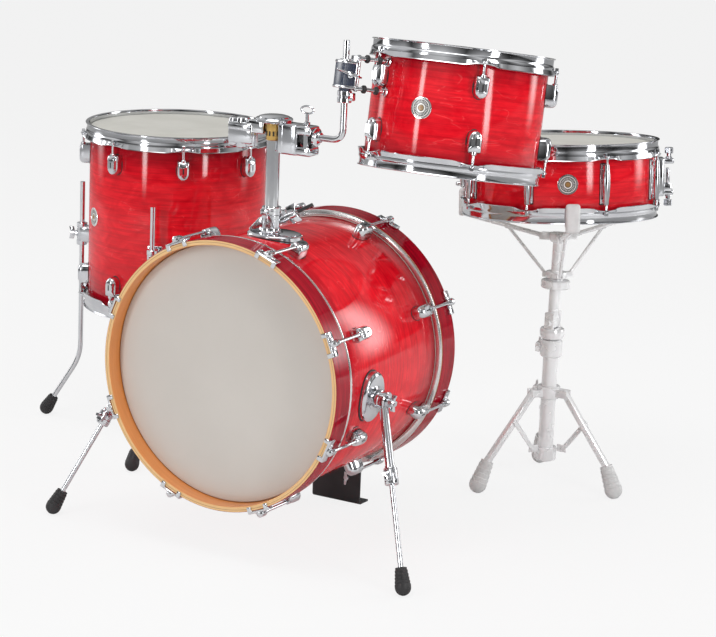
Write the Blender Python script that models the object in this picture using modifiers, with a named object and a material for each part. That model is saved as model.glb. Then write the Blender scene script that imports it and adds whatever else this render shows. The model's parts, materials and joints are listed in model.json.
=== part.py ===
"""Drum kit: a bass drum that carries one rack tom, a floor tom on three legs and a snare drum on its stand.

The kit frame has the floor at z = 0, the bass drum's axis along Y and its front head towards -Y. Lengths are
metres and angles degrees. A drum's own frame has z along its axis, and azimuths turn from x towards y.
"""

from collections import namedtuple
from math import cos, radians, sin

import bmesh
import bpy
from mathutils import Matrix, Vector

GAP = 0.0003  # clearance between pieces that touch
OVERLAP = 0.001  # how far shapes of one piece reach into each other
THROUGH = 0.02  # how far a cutter runs past what it cuts
WELD = 0.00001  # corners nearer than this become one
UNIT_RADIUS = 0.5  # of a cylinder that is stretched to its two widths
ROUND_SIDES = 12
ROD_SIDES = 8
PIN_SIDES = 6
TENSION_SIDES = 5
PLAIN_WIRE = 1  # bevel resolutions
FINE_WIRE = 2

# Drum heads: a film, a collar over the bearing edge and a flesh hoop under the counter hoop
FILM = 0.001
COLLAR_WALL = 0.0014
FLESH_HOOP_REACH = 0.0062
FLESH_HOOP_DEPTH = 0.004
FLESH_HOOP_HEIGHT = 0.007

# Pressed metal counter hoops
LIP_RISE = 0.010
LIP_REACH = 0.0095
HOOP_SHEET = 0.0025
HOOP_DROP = 0.016
FLANGE_SHEET = 0.0022
FLANGE_REACH = 0.0175

# Lugs and tension rods of the toms and the snare drum
LUG_LENGTH = 0.038
LUG_WIDTH = 0.022
LUG_HEIGHT = 0.020
LUG_ROOT = 0.002
LUG_TAPER = 0.6
LUG_SIDES = 8
TENSION_REACH = 0.0135
TENSION_RADIUS = 0.0025
TENSION_HEAD = 0.006

# Bass drum
BASS_RADIUS = 0.2286
BASS_DEPTH = 0.356
BASS_WALL = 0.007
BASS_STEPS = 32
BASS_LUGS = 8
BASS_FIRST_LUG = 22.5
BASS_FLOOR_CLEARANCE = 0.0863
BASS_FRONT_LUG = 0.078
BASS_REAR_LUG = 0.066
BASS_LUG_HEIGHT = 0.026
WOOD_HOOP_WALL = 0.0099
WOOD_HOOP_FRONT = 0.0307
WOOD_HOOP_BACK = 0.015
BASS_FLESH_HOOP_HEIGHT = 0.008
CLAW_WIDTH = 0.046
CLAW_LENGTH = 0.019
CLAW_SHEET = 0.003
CLAW_SEAT = 0.0015
FINGER_WIDTH = 0.008
FINGER_REACH = 0.008
FINGER_PROUD = 0.0006
CLAW_BOSS_RADIUS = 0.007
CLAW_ROD_RADIUS = 0.003
CLAW_ROD_REACH = 0.0195

# Bass drum spurs
SPUR_ANGLE = 96.0  # from the top of the shell
SPUR_SETBACK = 0.105  # from the front bearing edge
SPUR_PLATE_LENGTH = 0.070
SPUR_PLATE_HEIGHT = 0.090
SPUR_PLATE_THICKNESS = 0.011
SPUR_PLATE_ROOT = 0.006
SPUR_BOSS_HEIGHT = 0.005
SPUR_HUB_RADIUS = 0.017
SPUR_TUBE_RADIUS = 0.008
SPUR_HUB_MARGIN = 0.002  # of the hub beyond the tube, at each end
SPUR_HUB_HEIGHT = 2 * (SPUR_TUBE_RADIUS + SPUR_HUB_MARGIN)
SPUR_PIN_RADIUS = 0.005
SPUR_PIN_LENGTH = 0.012
SPUR_WING = (0.012, 0.005, 0.026)
SPUR_REACH_OUT = 0.1224
SPUR_REACH_FORWARD = 0.115
SPUR_TUBE_LENGTH = 0.150
SPUR_CLAMP_RADIUS = 0.012
SPUR_CLAMP_LENGTH = 0.030
SPUR_BORE_START = 0.040
SPUR_ROD_RADIUS = 0.0048
SPUR_ROD_START = 0.075
SPUR_FOOT_RADIUS = 0.014
SPUR_FOOT_LENGTH = 0.048
SPUR_FOOT_SOLE = 0.012
FOOT_NECK = 0.82  # shares of a rubber foot's radius and length
FOOT_SHOULDER = 0.8
SOLE_ANGLES = (0, 30, 60)

# Bass drum lift behind the rear hoop
LIFT_WIDTH = 0.104
LIFT_SHEET = 0.004
LIFT_HEIGHT = 0.112
LIFT_FOOT = 0.034
LIFT_LEDGE_WIDTH = 0.050
LIFT_LEDGE_REACH = 0.040
LIFT_LEDGE_SHEET = 0.0045
LIFT_SCREW_X = 0.030
LIFT_SCREW_HEIGHT = 0.054
LIFT_SCREW_RADIUS = 0.003
LIFT_SCREW_LENGTH = 0.016
LIFT_SCREW_WING = (0.026, 0.010, 0.012)
LIFT_SCREW_NUT = (0.012, 0.005)

# Tom mount on top of the bass drum
POST_X = 0.003
POST_Y = -0.056
POST_RADIUS = 0.012
POST_BELOW = 0.085
POST_ABOVE = 0.195
POST_SHELL_CLEARANCE = 0.002
MOUNT_PLATE = (0.104, 0.080)
MOUNT_PLATE_OFFSET = 0.008
MOUNT_PLATE_TOP = 0.0055
MOUNT_PLATE_ROOT = 0.012
RECEIVER_RADIUS = 0.0165
RECEIVER_HEIGHT = 0.0365
GUSSET_REACH = 0.042
GUSSET_HEIGHT = 0.026
GUSSET_SHEET = 0.020
MOUNT_BOLT_AZIMUTH = 40.0
MOUNT_BOLT_RISE = 0.018
MOUNT_BOLT_SLOPE = 0.5
MOUNT_BOLT_RADIUS = 0.0075
MOUNT_BOLT_LENGTH = 0.034
MOUNT_WING = (0.030, 0.006, 0.024)
MOUNT_TIP_RADIUS = 0.0032
MOUNT_TIP_LENGTH = 0.024
MOUNT_COLLAR_HEIGHT = 0.0137
MOUNT_COLLAR_WALL = 0.0045
MOUNT_COLLAR_EAR = (0.014, 0.012)

# Holder head on the post
NECK_WALL = 0.0014
NECK_LENGTH = 0.026
CAP_RADIUS = 0.033
CAP_HEIGHT = 0.012
CAP_BEVEL = 0.003
CAP_SIDES = 24
CLAMP_BLOCK_HEIGHT = 0.054
CLAMP_BLOCK_DEPTH = 0.034
RIGHT_BLOCK = (0.017, 0.085)
LEFT_BLOCK = (-0.092, -0.035)
BRIDGE = (0.030, 0.022, 0.024)
RING_SCREW_X = 0.067
RING_SCREW_RADIUS = 0.003
RING_SCREW_RISE = 0.020
RING_RADIUS = 0.010
RING_WIRE = 0.0018

# L-shaped tom arm
ARM_RADIUS = 0.0058
ARM_DROP = 0.030  # below the holder's cap
ARM_SOCKET = 0.038
ARM_ELBOW = 0.140  # from the post's axis
ARM_LEAN = (-0.034, 0.061)
ARM_BEND = 0.022
ARM_BEND_STEPS = 5
ARM_TOP = 0.172
ARM_FLANGE_RADIUS = 0.016
ARM_FLANGE_LENGTH = 0.012
BRACKET_HEIGHT = 0.114  # of the bracket's middle above the arm
TOM_COLLAR_RADIUS = 0.0125
TOM_COLLAR_LENGTH = 0.021
TOM_SLEEVE_RADIUS = 0.0105
TOM_SLEEVE_LENGTH = 0.0035

# Rack tom and the bracket that hangs it on the arm
RACK_RADIUS = 0.1525
RACK_DEPTH = 0.203
RACK_WALL = 0.006
RACK_TILT = (0.001, 0.162)
RACK_STEPS = 25
RACK_LUGS = 5
RACK_FIRST_LUG = -120.9
RACK_LUG_OFFSET = 0.046
BRACKET_REACH = 0.0765
BRACKET_OFFSET = 0.041  # above the tom's middle
BRACKET_SIZE = (0.029, 0.032, 0.048)
HANGER_SHEET = 0.0045
HANGER_WIDTH = 0.030
HANGER_SHIFT = (BRACKET_SIZE[1] - HANGER_WIDTH) / 2  # its edge is flush with the bracket's side
HANGER_HEIGHT = 0.060
HANGER_RISE = 0.004
HANGER_ROD_RADIUS = 0.0035
HANGER_ROD_SHIFT = 0.012
HANGER_ROD_SPACING = 0.052
BUSH_RADIUS = 0.0078
BUSH_LENGTH = 0.006
BUSH_PLACES = (0.020, 0.044)
HANGER_FOOT_RADIUS = 0.0062
HANGER_FOOT_LENGTH = 0.004
LOOP_LENGTH = 0.044
LOOP_DEPTH = 0.022
LOOP_WIRE = 0.0017
LOOP_SHIFT = 0.006
LOOP_SCREW_RADIUS = 0.0035

# Floor tom and its legs
FLOOR_RADIUS = 0.178
FLOOR_DEPTH = 0.356
FLOOR_WALL = 0.006
FLOOR_PLACE = (-0.533, 0.435)
FLOOR_CLEARANCE = 0.271
FLOOR_STEPS = 24
FLOOR_LUGS = 8
FLOOR_FIRST_LUG = -142.6
FLOOR_LUG_INSET = 0.055
LEG_AZIMUTHS = (197.0, 291.0, 61.0)
LEG_FOOT_RADII = (0.285, 0.345, 0.310)
LEG_RADIUS = 0.005
LEG_STANDOFF = 0.025
LEG_TOP = 0.230  # above the shell's lower edge
LEG_KNEE = 0.133
LEG_BEND = 0.020
LEG_BEND_STEPS = 3
LEG_BRACKET = (0.036, 0.030, 0.046)
LEG_BRACKET_RISE = 0.122
LEG_BOLT_RADIUS = 0.004
LEG_BOLT_LENGTH = 0.014
LEG_WING = (0.004, 0.026, 0.016)
LEG_FOOT_RADIUS = 0.014
LEG_FOOT_LENGTH = 0.044

# Snare drum
SNARE_RADIUS = 0.178
SNARE_DEPTH = 0.127
SNARE_WALL = 0.006
SNARE_CENTRE = (0.262, 0.562, 0.611)
SNARE_TILT = (-0.070, 0.054)
SNARE_STEPS = 24
SNARE_LUGS = 8
SNARE_FIRST_LUG = -37.4
SNARE_LUG_LENGTH = 0.076
SNARE_LUG_WIDTH = 0.015
STRAINER_AZIMUTH = 30.0
STRAINER_SIZE = (0.020, 0.034, 0.078)
STRAINER_SHELF = (0.018, 0.016, 0.010)
STRAINER_SHELF_RISE = 0.030
KNOB_RADIUS = 0.008
KNOB_HEIGHT = 0.026
LEVER_SIZE = (0.007, 0.018, 0.040)
LEVER_PIN_RADIUS = 0.002
LEVER_EAR = (0.014, 0.004, 0.014)
LEVER_PIVOT_DROP = 0.020
BUTT_SIZE = (0.013, 0.032, 0.050)
BUTT_SCREW_RADIUS = 0.004
BUTT_SCREW_LENGTH = 0.008
BUTT_SCREW_SPREAD = 0.0167
WIRES_LENGTH = 0.320
WIRES_WIDTH = 0.040
WIRES_THICKNESS = 0.0014

# Snare stand
STAND_PLACE = (0.270, 0.550)
STAND_FIRST_LEG = 239.4
STAND_LEGS = 3
LOWER_TUBE_RADIUS = 0.0145
LOWER_TUBE_BORE = 0.0108
LOWER_TUBE_BOTTOM = 0.050
LOWER_TUBE_TOP = 0.2755
HUB_RADIUS = 0.0215
HUB_HEIGHT = 0.025
HUB_PIVOT_RADIUS = 0.035
HUB_PIVOT_HEIGHT = 0.078
LEG_COLLAR_RADIUS = 0.022
LEG_COLLAR_BOTTOM = 0.177
LEG_COLLAR_HEIGHT = 0.024
LEG_PIVOT_RADIUS = 0.036
LEG_PIVOT_HEIGHT = 0.189
STAND_LEG_SIZE = (0.010, 0.014)
STAND_LEG_FOOT_TOP = (0.132, 0.062)
STAND_FOOT_RADIUS = 0.017
STAND_FOOT_SPREAD = 0.151
STRUT_TIP = (0.078, 0.135)
STRUT_SIZE = (0.009, 0.003)
PIN_RADIUS = 0.0022
OPEN_PIN_CLEARANCE = 0.0012
EAR_SHEET = 0.003
EAR_SIZE = (0.026, 0.014)
HEIGHT_CLAMP_RADIUS = 0.021
HEIGHT_CLAMP_BOTTOM = 0.259
HEIGHT_CLAMP_HEIGHT = 0.034
UPPER_TUBE_RADIUS = 0.0105
UPPER_TUBE_BOTTOM = 0.140
TILTER_RADIUS = 0.024
TILTER_BOTTOM = 0.294
TILTER_PIVOT = 0.328
TILTER_PIN = 0.050
TILTER_PIN_RADIUS = 0.0044
TILTER_EAR = (0.020, 0.006, 0.040)
TILTER_EAR_SHIFT = 0.0145
TILTER_SLOT = 0.044
TILTER_KNUCKLE = (0.018, 0.0224, 0.024)
BASKET_HUB_DROP = 0.117
BASKET_HUB_RADIUS = 0.019
BASKET_HUB_HEIGHT = 0.014
BASKET_NUT_HEIGHT = 0.402
BASKET_NUT_RADIUS = 0.028
BASKET_NUT_THICKNESS = 0.016
ARM_AZIMUTHS = (-57.0, -177.0, 63.0)
BASKET_ARM_RADIUS = 0.0045
BASKET_ARM_START = 0.031
BRACE_START = (0.026, -0.074)
BRACE_MEET = 0.45
BRACE_RADIUS = 0.0032
GRIP_WALL = 0.013
GRIP_WIDTH = 0.027
GRIP_BELOW = 0.014
GRIP_ABOVE = 0.024
GRIP_LIP = 0.020
GRIP_LIP_HEIGHT = 0.005

FINISHES = {
    "shell_lacquer": ((0.62, 0.02, 0.03), 0.12, 0.0),
    "hoop_lacquer": ((0.36, 0.02, 0.03), 0.18, 0.0),
    "coated_head": ((0.86, 0.85, 0.82), 0.6, 0.0),
    "smooth_head": ((0.78, 0.76, 0.73), 0.35, 0.0),
    "chrome": ((0.78, 0.79, 0.80), 0.08, 1.0),
    "black_rubber": ((0.02, 0.02, 0.02), 0.7, 0.0),
    "black_steel": ((0.03, 0.03, 0.03), 0.4, 0.0),
    "pale_steel": ((0.72, 0.72, 0.72), 0.35, 0.6),
}
PALE_RUBBER = (0.62, 0.62, 0.62)
SHARP_ANGLE = 35.0

Drum = namedtuple("Drum", "name frame radius depth wall steps lugs first_lug")

ROOT = None
PARTS = None
TOOLS = None


def clear_scene():
    """Removes what the file opened with and makes the kit's two collections and its root empty."""
    global ROOT, PARTS, TOOLS
    for old in list(bpy.data.objects):
        bpy.data.objects.remove(old)
    PARTS = bpy.data.collections.new("drum_kit")
    TOOLS = bpy.data.collections.new("cutters")
    bpy.context.scene.collection.children.link(PARTS)
    bpy.context.scene.collection.children.link(TOOLS)
    ROOT = bpy.data.objects.new("kit_origin", None)
    PARTS.objects.link(ROOT)


def move(x, y, z):
    """Matrix that moves by x, y and z."""
    return Matrix.Translation((x, y, z))


def turn(angle, axis):
    """Matrix that turns by an angle in degrees about an axis letter."""
    return Matrix.Rotation(radians(angle), 4, axis)


def around(azimuth, radius, height):
    """Place at an azimuth and a radius, with x outwards and z along the axis."""
    return turn(azimuth, "Z") @ move(radius, 0, height)


def outwards(azimuth, radius, height):
    """Place at an azimuth and a radius, with z outwards and x against the axis."""
    return around(azimuth, radius, height) @ turn(90, "Y")


def aligned(start, direction):
    """Place at a point, with z along a direction."""
    spin = Vector((0, 0, 1)).rotation_difference(Vector(direction).normalized())
    return Matrix.Translation(start) @ spin.to_matrix().to_4x4()


def tool(name, mesh, place):
    """Object in the cutters' collection, hidden from renders."""
    made = bpy.data.objects.new(name, mesh)
    made.matrix_world = place
    made.parent = ROOT
    made.hide_render = True
    made.display_type = "WIRE"
    TOOLS.objects.link(made)
    return made


def mesh_from(name, fill):
    """Mesh that a function fills through an edit mesh."""
    mesh = bpy.data.meshes.new(name)
    edit = bmesh.new()
    fill(edit)
    edit.to_mesh(mesh)
    edit.free()
    return mesh


def blocks(name, size, places, frame):
    """Boxes of one size, each centred at its place in a frame."""
    scale = Matrix.Diagonal((*size, 1))

    def fill(edit):
        for place in places:
            bmesh.ops.create_cube(edit, size=1, matrix=place @ scale)

    return tool(name, mesh_from(name, fill), frame)


def bore_radius(radius, sides):
    """Radius of a faceted bore whose flats clear a round shaft."""
    return (radius + GAP) / cos(radians(180 / sides))


def block(name, size, place):
    """Box centred at a place."""
    return blocks(name, size, [Matrix()], place)


def cylinders(name, radius, length, places, frame, sides=ROUND_SIDES, taper=1.0, stretch=(1, 1)):
    """Cylinders or cones that rise from each place, round or stretched across their axis."""
    scale = Matrix.Diagonal((*stretch, 1, 1))

    def fill(edit):
        for place in places:
            bmesh.ops.create_cone(edit, cap_ends=True, segments=sides, radius1=radius, radius2=radius * taper,
                                  depth=length, matrix=place @ move(0, 0, length / 2) @ scale)

    return tool(name, mesh_from(name, fill), frame)


def cylinder(name, radius, length, place, sides=ROUND_SIDES, **options):
    """One cylinder that rises from a place."""
    return cylinders(name, radius, length, [Matrix()], place, sides, **options)


def between(name, start, end, radius, sides=ROD_SIDES):
    """Cylinder from one point to another."""
    span = Vector(end) - Vector(start)
    return cylinder(name, radius, span.length, aligned(start, span), sides)


def turned(name, profile, place, steps):
    """Profile of radius and height pairs, swept round its place's z axis."""

    def fill(edit):
        corners = [edit.verts.new((radius, 0, height)) for radius, height in profile]
        for corner, following in zip(corners, corners[1:]):
            edit.edges.new((corner, following))
        if profile[0][0] > 0:
            edit.edges.new((corners[-1], corners[0]))

    made = tool(name, mesh_from(name, fill), place)
    screw = made.modifiers.new("sweep", "SCREW")
    screw.steps = steps
    screw.render_steps = steps
    screw.use_merge_vertices = True
    screw.merge_threshold = WELD
    return made


def wire(name, points, radius, place, resolution=PLAIN_WIRE, closed=False):
    """Round wire through points, as a closed mesh."""
    curve = bpy.data.curves.new(name, "CURVE")
    curve.dimensions = "3D"
    curve.bevel_depth = radius
    curve.bevel_resolution = resolution
    curve.use_fill_caps = not closed
    line = curve.splines.new("POLY")
    line.points.add(len(points) - 1)
    for knot, point in zip(line.points, points):
        knot.co = (*point, 1)
    line.use_cyclic_u = closed
    return mesh_of_curve(name, curve, place)


def sheet(name, outline, thickness, place):
    """Flat outline in a place's xy plane, as thick on each side of it."""
    curve = bpy.data.curves.new(name, "CURVE")
    curve.dimensions = "2D"
    curve.fill_mode = "BOTH"
    curve.extrude = thickness / 2
    line = curve.splines.new("POLY")
    line.points.add(len(outline) - 1)
    for knot, point in zip(line.points, outline):
        knot.co = (*point, 0, 1)
    line.use_cyclic_u = True
    return mesh_of_curve(name, curve, place)


def mesh_of_curve(name, curve, place):
    """Turns a curve into a mesh object with welded caps."""
    drawn = bpy.data.objects.new(name, curve)
    TOOLS.objects.link(drawn)
    bpy.context.view_layer.update()
    evaluated = drawn.evaluated_get(bpy.context.evaluated_depsgraph_get())
    mesh = bpy.data.meshes.new_from_object(evaluated)
    bpy.data.objects.remove(drawn)
    edit = bmesh.new()
    edit.from_mesh(mesh)
    bmesh.ops.remove_doubles(edit, verts=edit.verts, dist=WELD)
    bmesh.ops.recalc_face_normals(edit, faces=edit.faces)
    edit.to_mesh(mesh)
    edit.free()
    return tool(name, mesh, place)


def join(target, *others):
    """Adds other shapes to a piece."""
    for other in others:
        cut(target, other, operation="UNION")
    return target


def cut(target, *others, operation="DIFFERENCE"):
    """Takes other shapes out of a piece."""
    for other in others:
        boolean = target.modifiers.new(other.name, "BOOLEAN")
        boolean.operation = operation
        boolean.object = other
    return target


def finish_material(name, slot, colour=None):
    """A piece's own Principled material."""
    base, roughness, metallic = FINISHES[slot]
    material = bpy.data.materials.new(name + "_finish")
    material.use_nodes = True
    shader = material.node_tree.nodes["Principled BSDF"]
    shader.inputs["Base Color"].default_value = (*(colour or base), 1)
    shader.inputs["Roughness"].default_value = roughness
    shader.inputs["Metallic"].default_value = metallic
    return material


def part(shape, name, slot, carrier=None, colour=None):
    """Makes a shape one of the kit's pieces, carried by a joint's empty or by the root."""
    place = shape.matrix_world.copy()
    TOOLS.objects.unlink(shape)
    PARTS.objects.link(shape)
    shape.name = name
    shape.data.name = name
    shape.hide_render = False
    shape.display_type = "TEXTURED"
    shape.data.materials.clear()
    shape.data.materials.append(finish_material(name, slot, colour))
    shape.data.shade_smooth()
    shape.data.set_sharp_from_angle(angle=radians(SHARP_ANGLE))
    if carrier:
        shape.parent = carrier
        shape.matrix_parent_inverse = world_of(carrier).inverted()
    shape.matrix_basis = place
    return shape


def world_of(empty):
    """Place of an empty in the kit frame, through its parents."""
    if empty is None:
        return Matrix()
    return world_of(empty.parent) @ empty.matrix_parent_inverse @ empty.matrix_basis


def joint(name, point, axis, carrier=None):
    """Empty on a joint's axis, with z along it, that carries what moves there."""
    empty = bpy.data.objects.new("joint_" + name, None)
    PARTS.objects.link(empty)
    empty.parent = carrier or ROOT
    empty.matrix_parent_inverse = world_of(empty.parent).inverted()
    empty.matrix_basis = aligned(point, axis)
    return empty


def mirrored(profile, side):
    """A profile for one side of a drum: as given above its middle, turned over below it."""
    if side > 0:
        return profile
    return [(radius, -height) for radius, height in reversed(profile)]


def ring_frame(drum):
    """A drum's frame, turned so that its facets' corners stand at its lugs."""
    return drum.frame @ turn(drum.first_lug, "Z")


def lug_azimuths(drum):
    """Azimuths of a drum's lugs from its first one."""
    return [360 / drum.lugs * count for count in range(drum.lugs)]


def shell(drum):
    """Plain tube between the bearing edges."""
    edge = drum.depth / 2
    inner = drum.radius - drum.wall
    profile = [(drum.radius, edge), (drum.radius, -edge), (inner, -edge), (inner, edge)]
    return turned(drum.name + "_tube", profile, ring_frame(drum), drum.steps)


def shell_relief(drum):
    """Solid of the shell and its clearance, which trims what is seated on the shell."""
    half = drum.depth / 2
    outer = drum.radius + GAP
    profile = [(0, half), (outer, half), (outer, -half), (0, -half)]
    return turned(drum.name + "_relief", profile, ring_frame(drum), drum.steps)


def lugs(drum, height, length, width, rise):
    """A ring of tapering lugs at one height, rooted in the shell."""
    places = [outwards(azimuth, drum.radius - LUG_ROOT, height) for azimuth in lug_azimuths(drum)]
    return cylinders(drum.name + "_lugs", UNIT_RADIUS, rise + LUG_ROOT, places, ring_frame(drum), LUG_SIDES,
                     taper=LUG_TAPER, stretch=(length, width))


def lug_reach(length, rise, reach):
    """Half of a lug's length at a distance out from the shell."""
    share = (reach + LUG_ROOT) / (rise + LUG_ROOT)
    return length / 2 * (1 - (1 - LUG_TAPER) * share)


def head(drum, side, flesh_reach, flesh_top, flesh_height):
    """Drum head: film over the bearing edge, collar down the shell and flesh hoop outside it."""
    edge = drum.depth / 2
    inner = drum.radius + GAP
    collar = inner + COLLAR_WALL
    film = edge + GAP
    flesh = drum.radius + flesh_reach
    flesh_bottom = flesh_top - flesh_height
    profile = [(0, film + FILM), (collar, film + FILM), (collar, flesh_top), (flesh, flesh_top),
               (flesh, flesh_bottom), (inner, flesh_bottom), (inner, film), (0, film)]
    return turned(drum.name + "_head", mirrored(profile, side), ring_frame(drum), drum.steps)


def metal_hoop(drum, side, lug_end):
    """Pressed counter hoop with its tension rods, which end just short of the lugs."""
    edge = drum.depth / 2
    throat = drum.radius + COLLAR_WALL + 2 * GAP
    skirt = drum.radius + FLESH_HOOP_REACH + GAP
    step = edge - FLESH_HOOP_DEPTH + GAP
    lip = edge + LIP_RISE
    flange = edge - HOOP_DROP
    outer = drum.radius + FLANGE_REACH
    profile = [(drum.radius + LIP_REACH, lip), (drum.radius + LIP_REACH, lip - HOOP_SHEET),
               (throat + HOOP_SHEET, lip - HOOP_SHEET), (skirt + HOOP_SHEET, step - OVERLAP),
               (skirt + HOOP_SHEET, flange + FLANGE_SHEET), (outer, flange + FLANGE_SHEET), (outer, flange),
               (skirt, flange), (skirt, step), (throat, step), (throat, lip)]
    hoop = turned(drum.name + "_hoop", mirrored(profile, side), ring_frame(drum), drum.steps)
    start = flange + TENSION_HEAD
    middle = side * (start + lug_end) / 2
    length = start - lug_end
    foot = middle - length / 2
    places = [around(azimuth, drum.radius + TENSION_REACH, foot) for azimuth in lug_azimuths(drum)]
    rods = cylinders(drum.name + "_rods", TENSION_RADIUS, length, places, ring_frame(drum), TENSION_SIDES)
    return join(hoop, rods)


def metal_hooped(drum, carrier, lug_height, lug_length, top, bottom):
    """Adds both heads and both metal hoops of a drum."""
    flesh_top = drum.depth / 2 - FLESH_HOOP_DEPTH
    inner_reach = TENSION_REACH - TENSION_RADIUS
    lug_end = lug_height + lug_reach(lug_length, LUG_HEIGHT, inner_reach) + GAP
    for side, end, slot in ((1, "top", top), (-1, "bottom", bottom)):
        skin = head(drum, side, FLESH_HOOP_REACH, flesh_top, FLESH_HOOP_HEIGHT)
        part(skin, f"{drum.name}_{end}_head", slot, carrier)
        part(metal_hoop(drum, side, lug_end), f"{drum.name}_{end}_hoop", "chrome", carrier)


def bass_drum():
    """The bass drum: z of its frame points out of the front head and y points up."""
    centre = BASS_FLOOR_CLEARANCE + BASS_RADIUS + COLLAR_WALL + 2 * GAP + WOOD_HOOP_WALL
    frame = move(0, 0, centre) @ turn(90, "X")
    drum = Drum("bass", frame, BASS_RADIUS, BASS_DEPTH, BASS_WALL, BASS_STEPS, BASS_LUGS, BASS_FIRST_LUG)
    edge = BASS_DEPTH / 2
    tube = shell(drum)
    hole = cylinder("post_hole", POST_RADIUS + POST_SHELL_CLEARANCE, 2 * THROUGH,
                    move(POST_X, POST_Y, centre + BASS_RADIUS - THROUGH))
    for side, inset in ((1, BASS_FRONT_LUG), (-1, BASS_REAR_LUG)):
        lug_height = edge - inset
        join(tube, lugs(drum, side * lug_height, LUG_LENGTH, LUG_WIDTH, BASS_LUG_HEIGHT))
        end = "front" if side > 0 else "rear"
        flesh_top = edge - WOOD_HOOP_BACK - GAP
        reach = COLLAR_WALL + 2 * GAP + WOOD_HOOP_WALL
        skin = head(drum, side, reach, flesh_top, BASS_FLESH_HOOP_HEIGHT)
        part(skin, f"bass_{end}_head", "smooth_head" if side > 0 else "coated_head")
        part(wood_hoop(drum, side, lug_height), f"bass_{end}_hoop", "hoop_lacquer")
    cut(tube, hole)
    part(tube, "bass_shell", "shell_lacquer")
    return drum


def wood_hoop(drum, side, lug_height):
    """Flat wooden hoop with its claws, whose rods end just short of the lugs."""
    edge = drum.depth / 2
    inner = drum.radius + COLLAR_WALL + 2 * GAP
    outer = inner + WOOD_HOOP_WALL
    front = edge + WOOD_HOOP_FRONT
    back = edge - WOOD_HOOP_BACK
    profile = [(outer, front), (outer, back), (inner, back), (inner, front)]
    hoop = turned(drum.name + "_hoop", mirrored(profile, side), ring_frame(drum), drum.steps)
    frame = ring_frame(drum)
    azimuths = lug_azimuths(drum)
    plate_radius = outer + (CLAW_SHEET - CLAW_SEAT) / 2
    plate_middle = front + CLAW_SHEET - CLAW_LENGTH / 2
    plates = [around(azimuth, plate_radius, side * plate_middle) for azimuth in azimuths]
    finger_radius = outer - (FINGER_REACH - CLAW_SHEET) / 2 - FINGER_PROUD
    finger_middle = front + (CLAW_SHEET - OVERLAP) / 2 + FINGER_PROUD
    spread = (CLAW_WIDTH - FINGER_WIDTH) / 2 - FINGER_PROUD
    fingers = [around(azimuth, finger_radius, side * finger_middle) @ move(0, shift, 0)
               for azimuth in azimuths for shift in (-spread, spread)]
    rod_radius = drum.radius + CLAW_ROD_REACH
    lug_end = lug_height + lug_reach(LUG_LENGTH, BASS_LUG_HEIGHT, CLAW_ROD_REACH - CLAW_ROD_RADIUS) + GAP
    rod_start = front - CLAW_LENGTH / 2
    boss_length = CLAW_LENGTH - 2 * OVERLAP
    boss_middle = plate_middle - 2 * OVERLAP
    bosses = [around(azimuth, rod_radius, side * boss_middle - boss_length / 2) for azimuth in azimuths]
    rod_length = rod_start - lug_end
    rod_middle = (rod_start + lug_end) / 2
    rods = [around(azimuth, rod_radius, side * rod_middle - rod_length / 2) for azimuth in azimuths]
    return join(
        hoop,
        blocks("claw_plates", (CLAW_SHEET + CLAW_SEAT, CLAW_WIDTH, CLAW_LENGTH), plates, frame),
        blocks("claw_fingers", (FINGER_REACH + CLAW_SHEET, FINGER_WIDTH, CLAW_SHEET + OVERLAP), fingers, frame),
        cylinders("claw_bosses", CLAW_BOSS_RADIUS, boss_length, bosses, frame, PIN_SIDES),
        cylinders("claw_rods", CLAW_ROD_RADIUS, rod_length, rods, frame, TENSION_SIDES),
    )


def rounded_foot(name, radius, length, place, bore=0, bore_end=0):
    """Foot with a round sole at its place's origin plane, open above for a rod when it has a bore."""
    sole = [(radius * cos(radians(angle)), radius - radius * sin(radians(angle))) for angle in SOLE_ANGLES]
    outside = [(radius * FOOT_NECK, length), (radius, length * FOOT_SHOULDER), *sole, (0, 0)]
    inside = [(0, length)]
    if bore:
        inside = [(0, bore_end), (bore, bore_end), (bore, length)]
    return turned(name, inside + outside, place, ROUND_SIDES)


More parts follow.
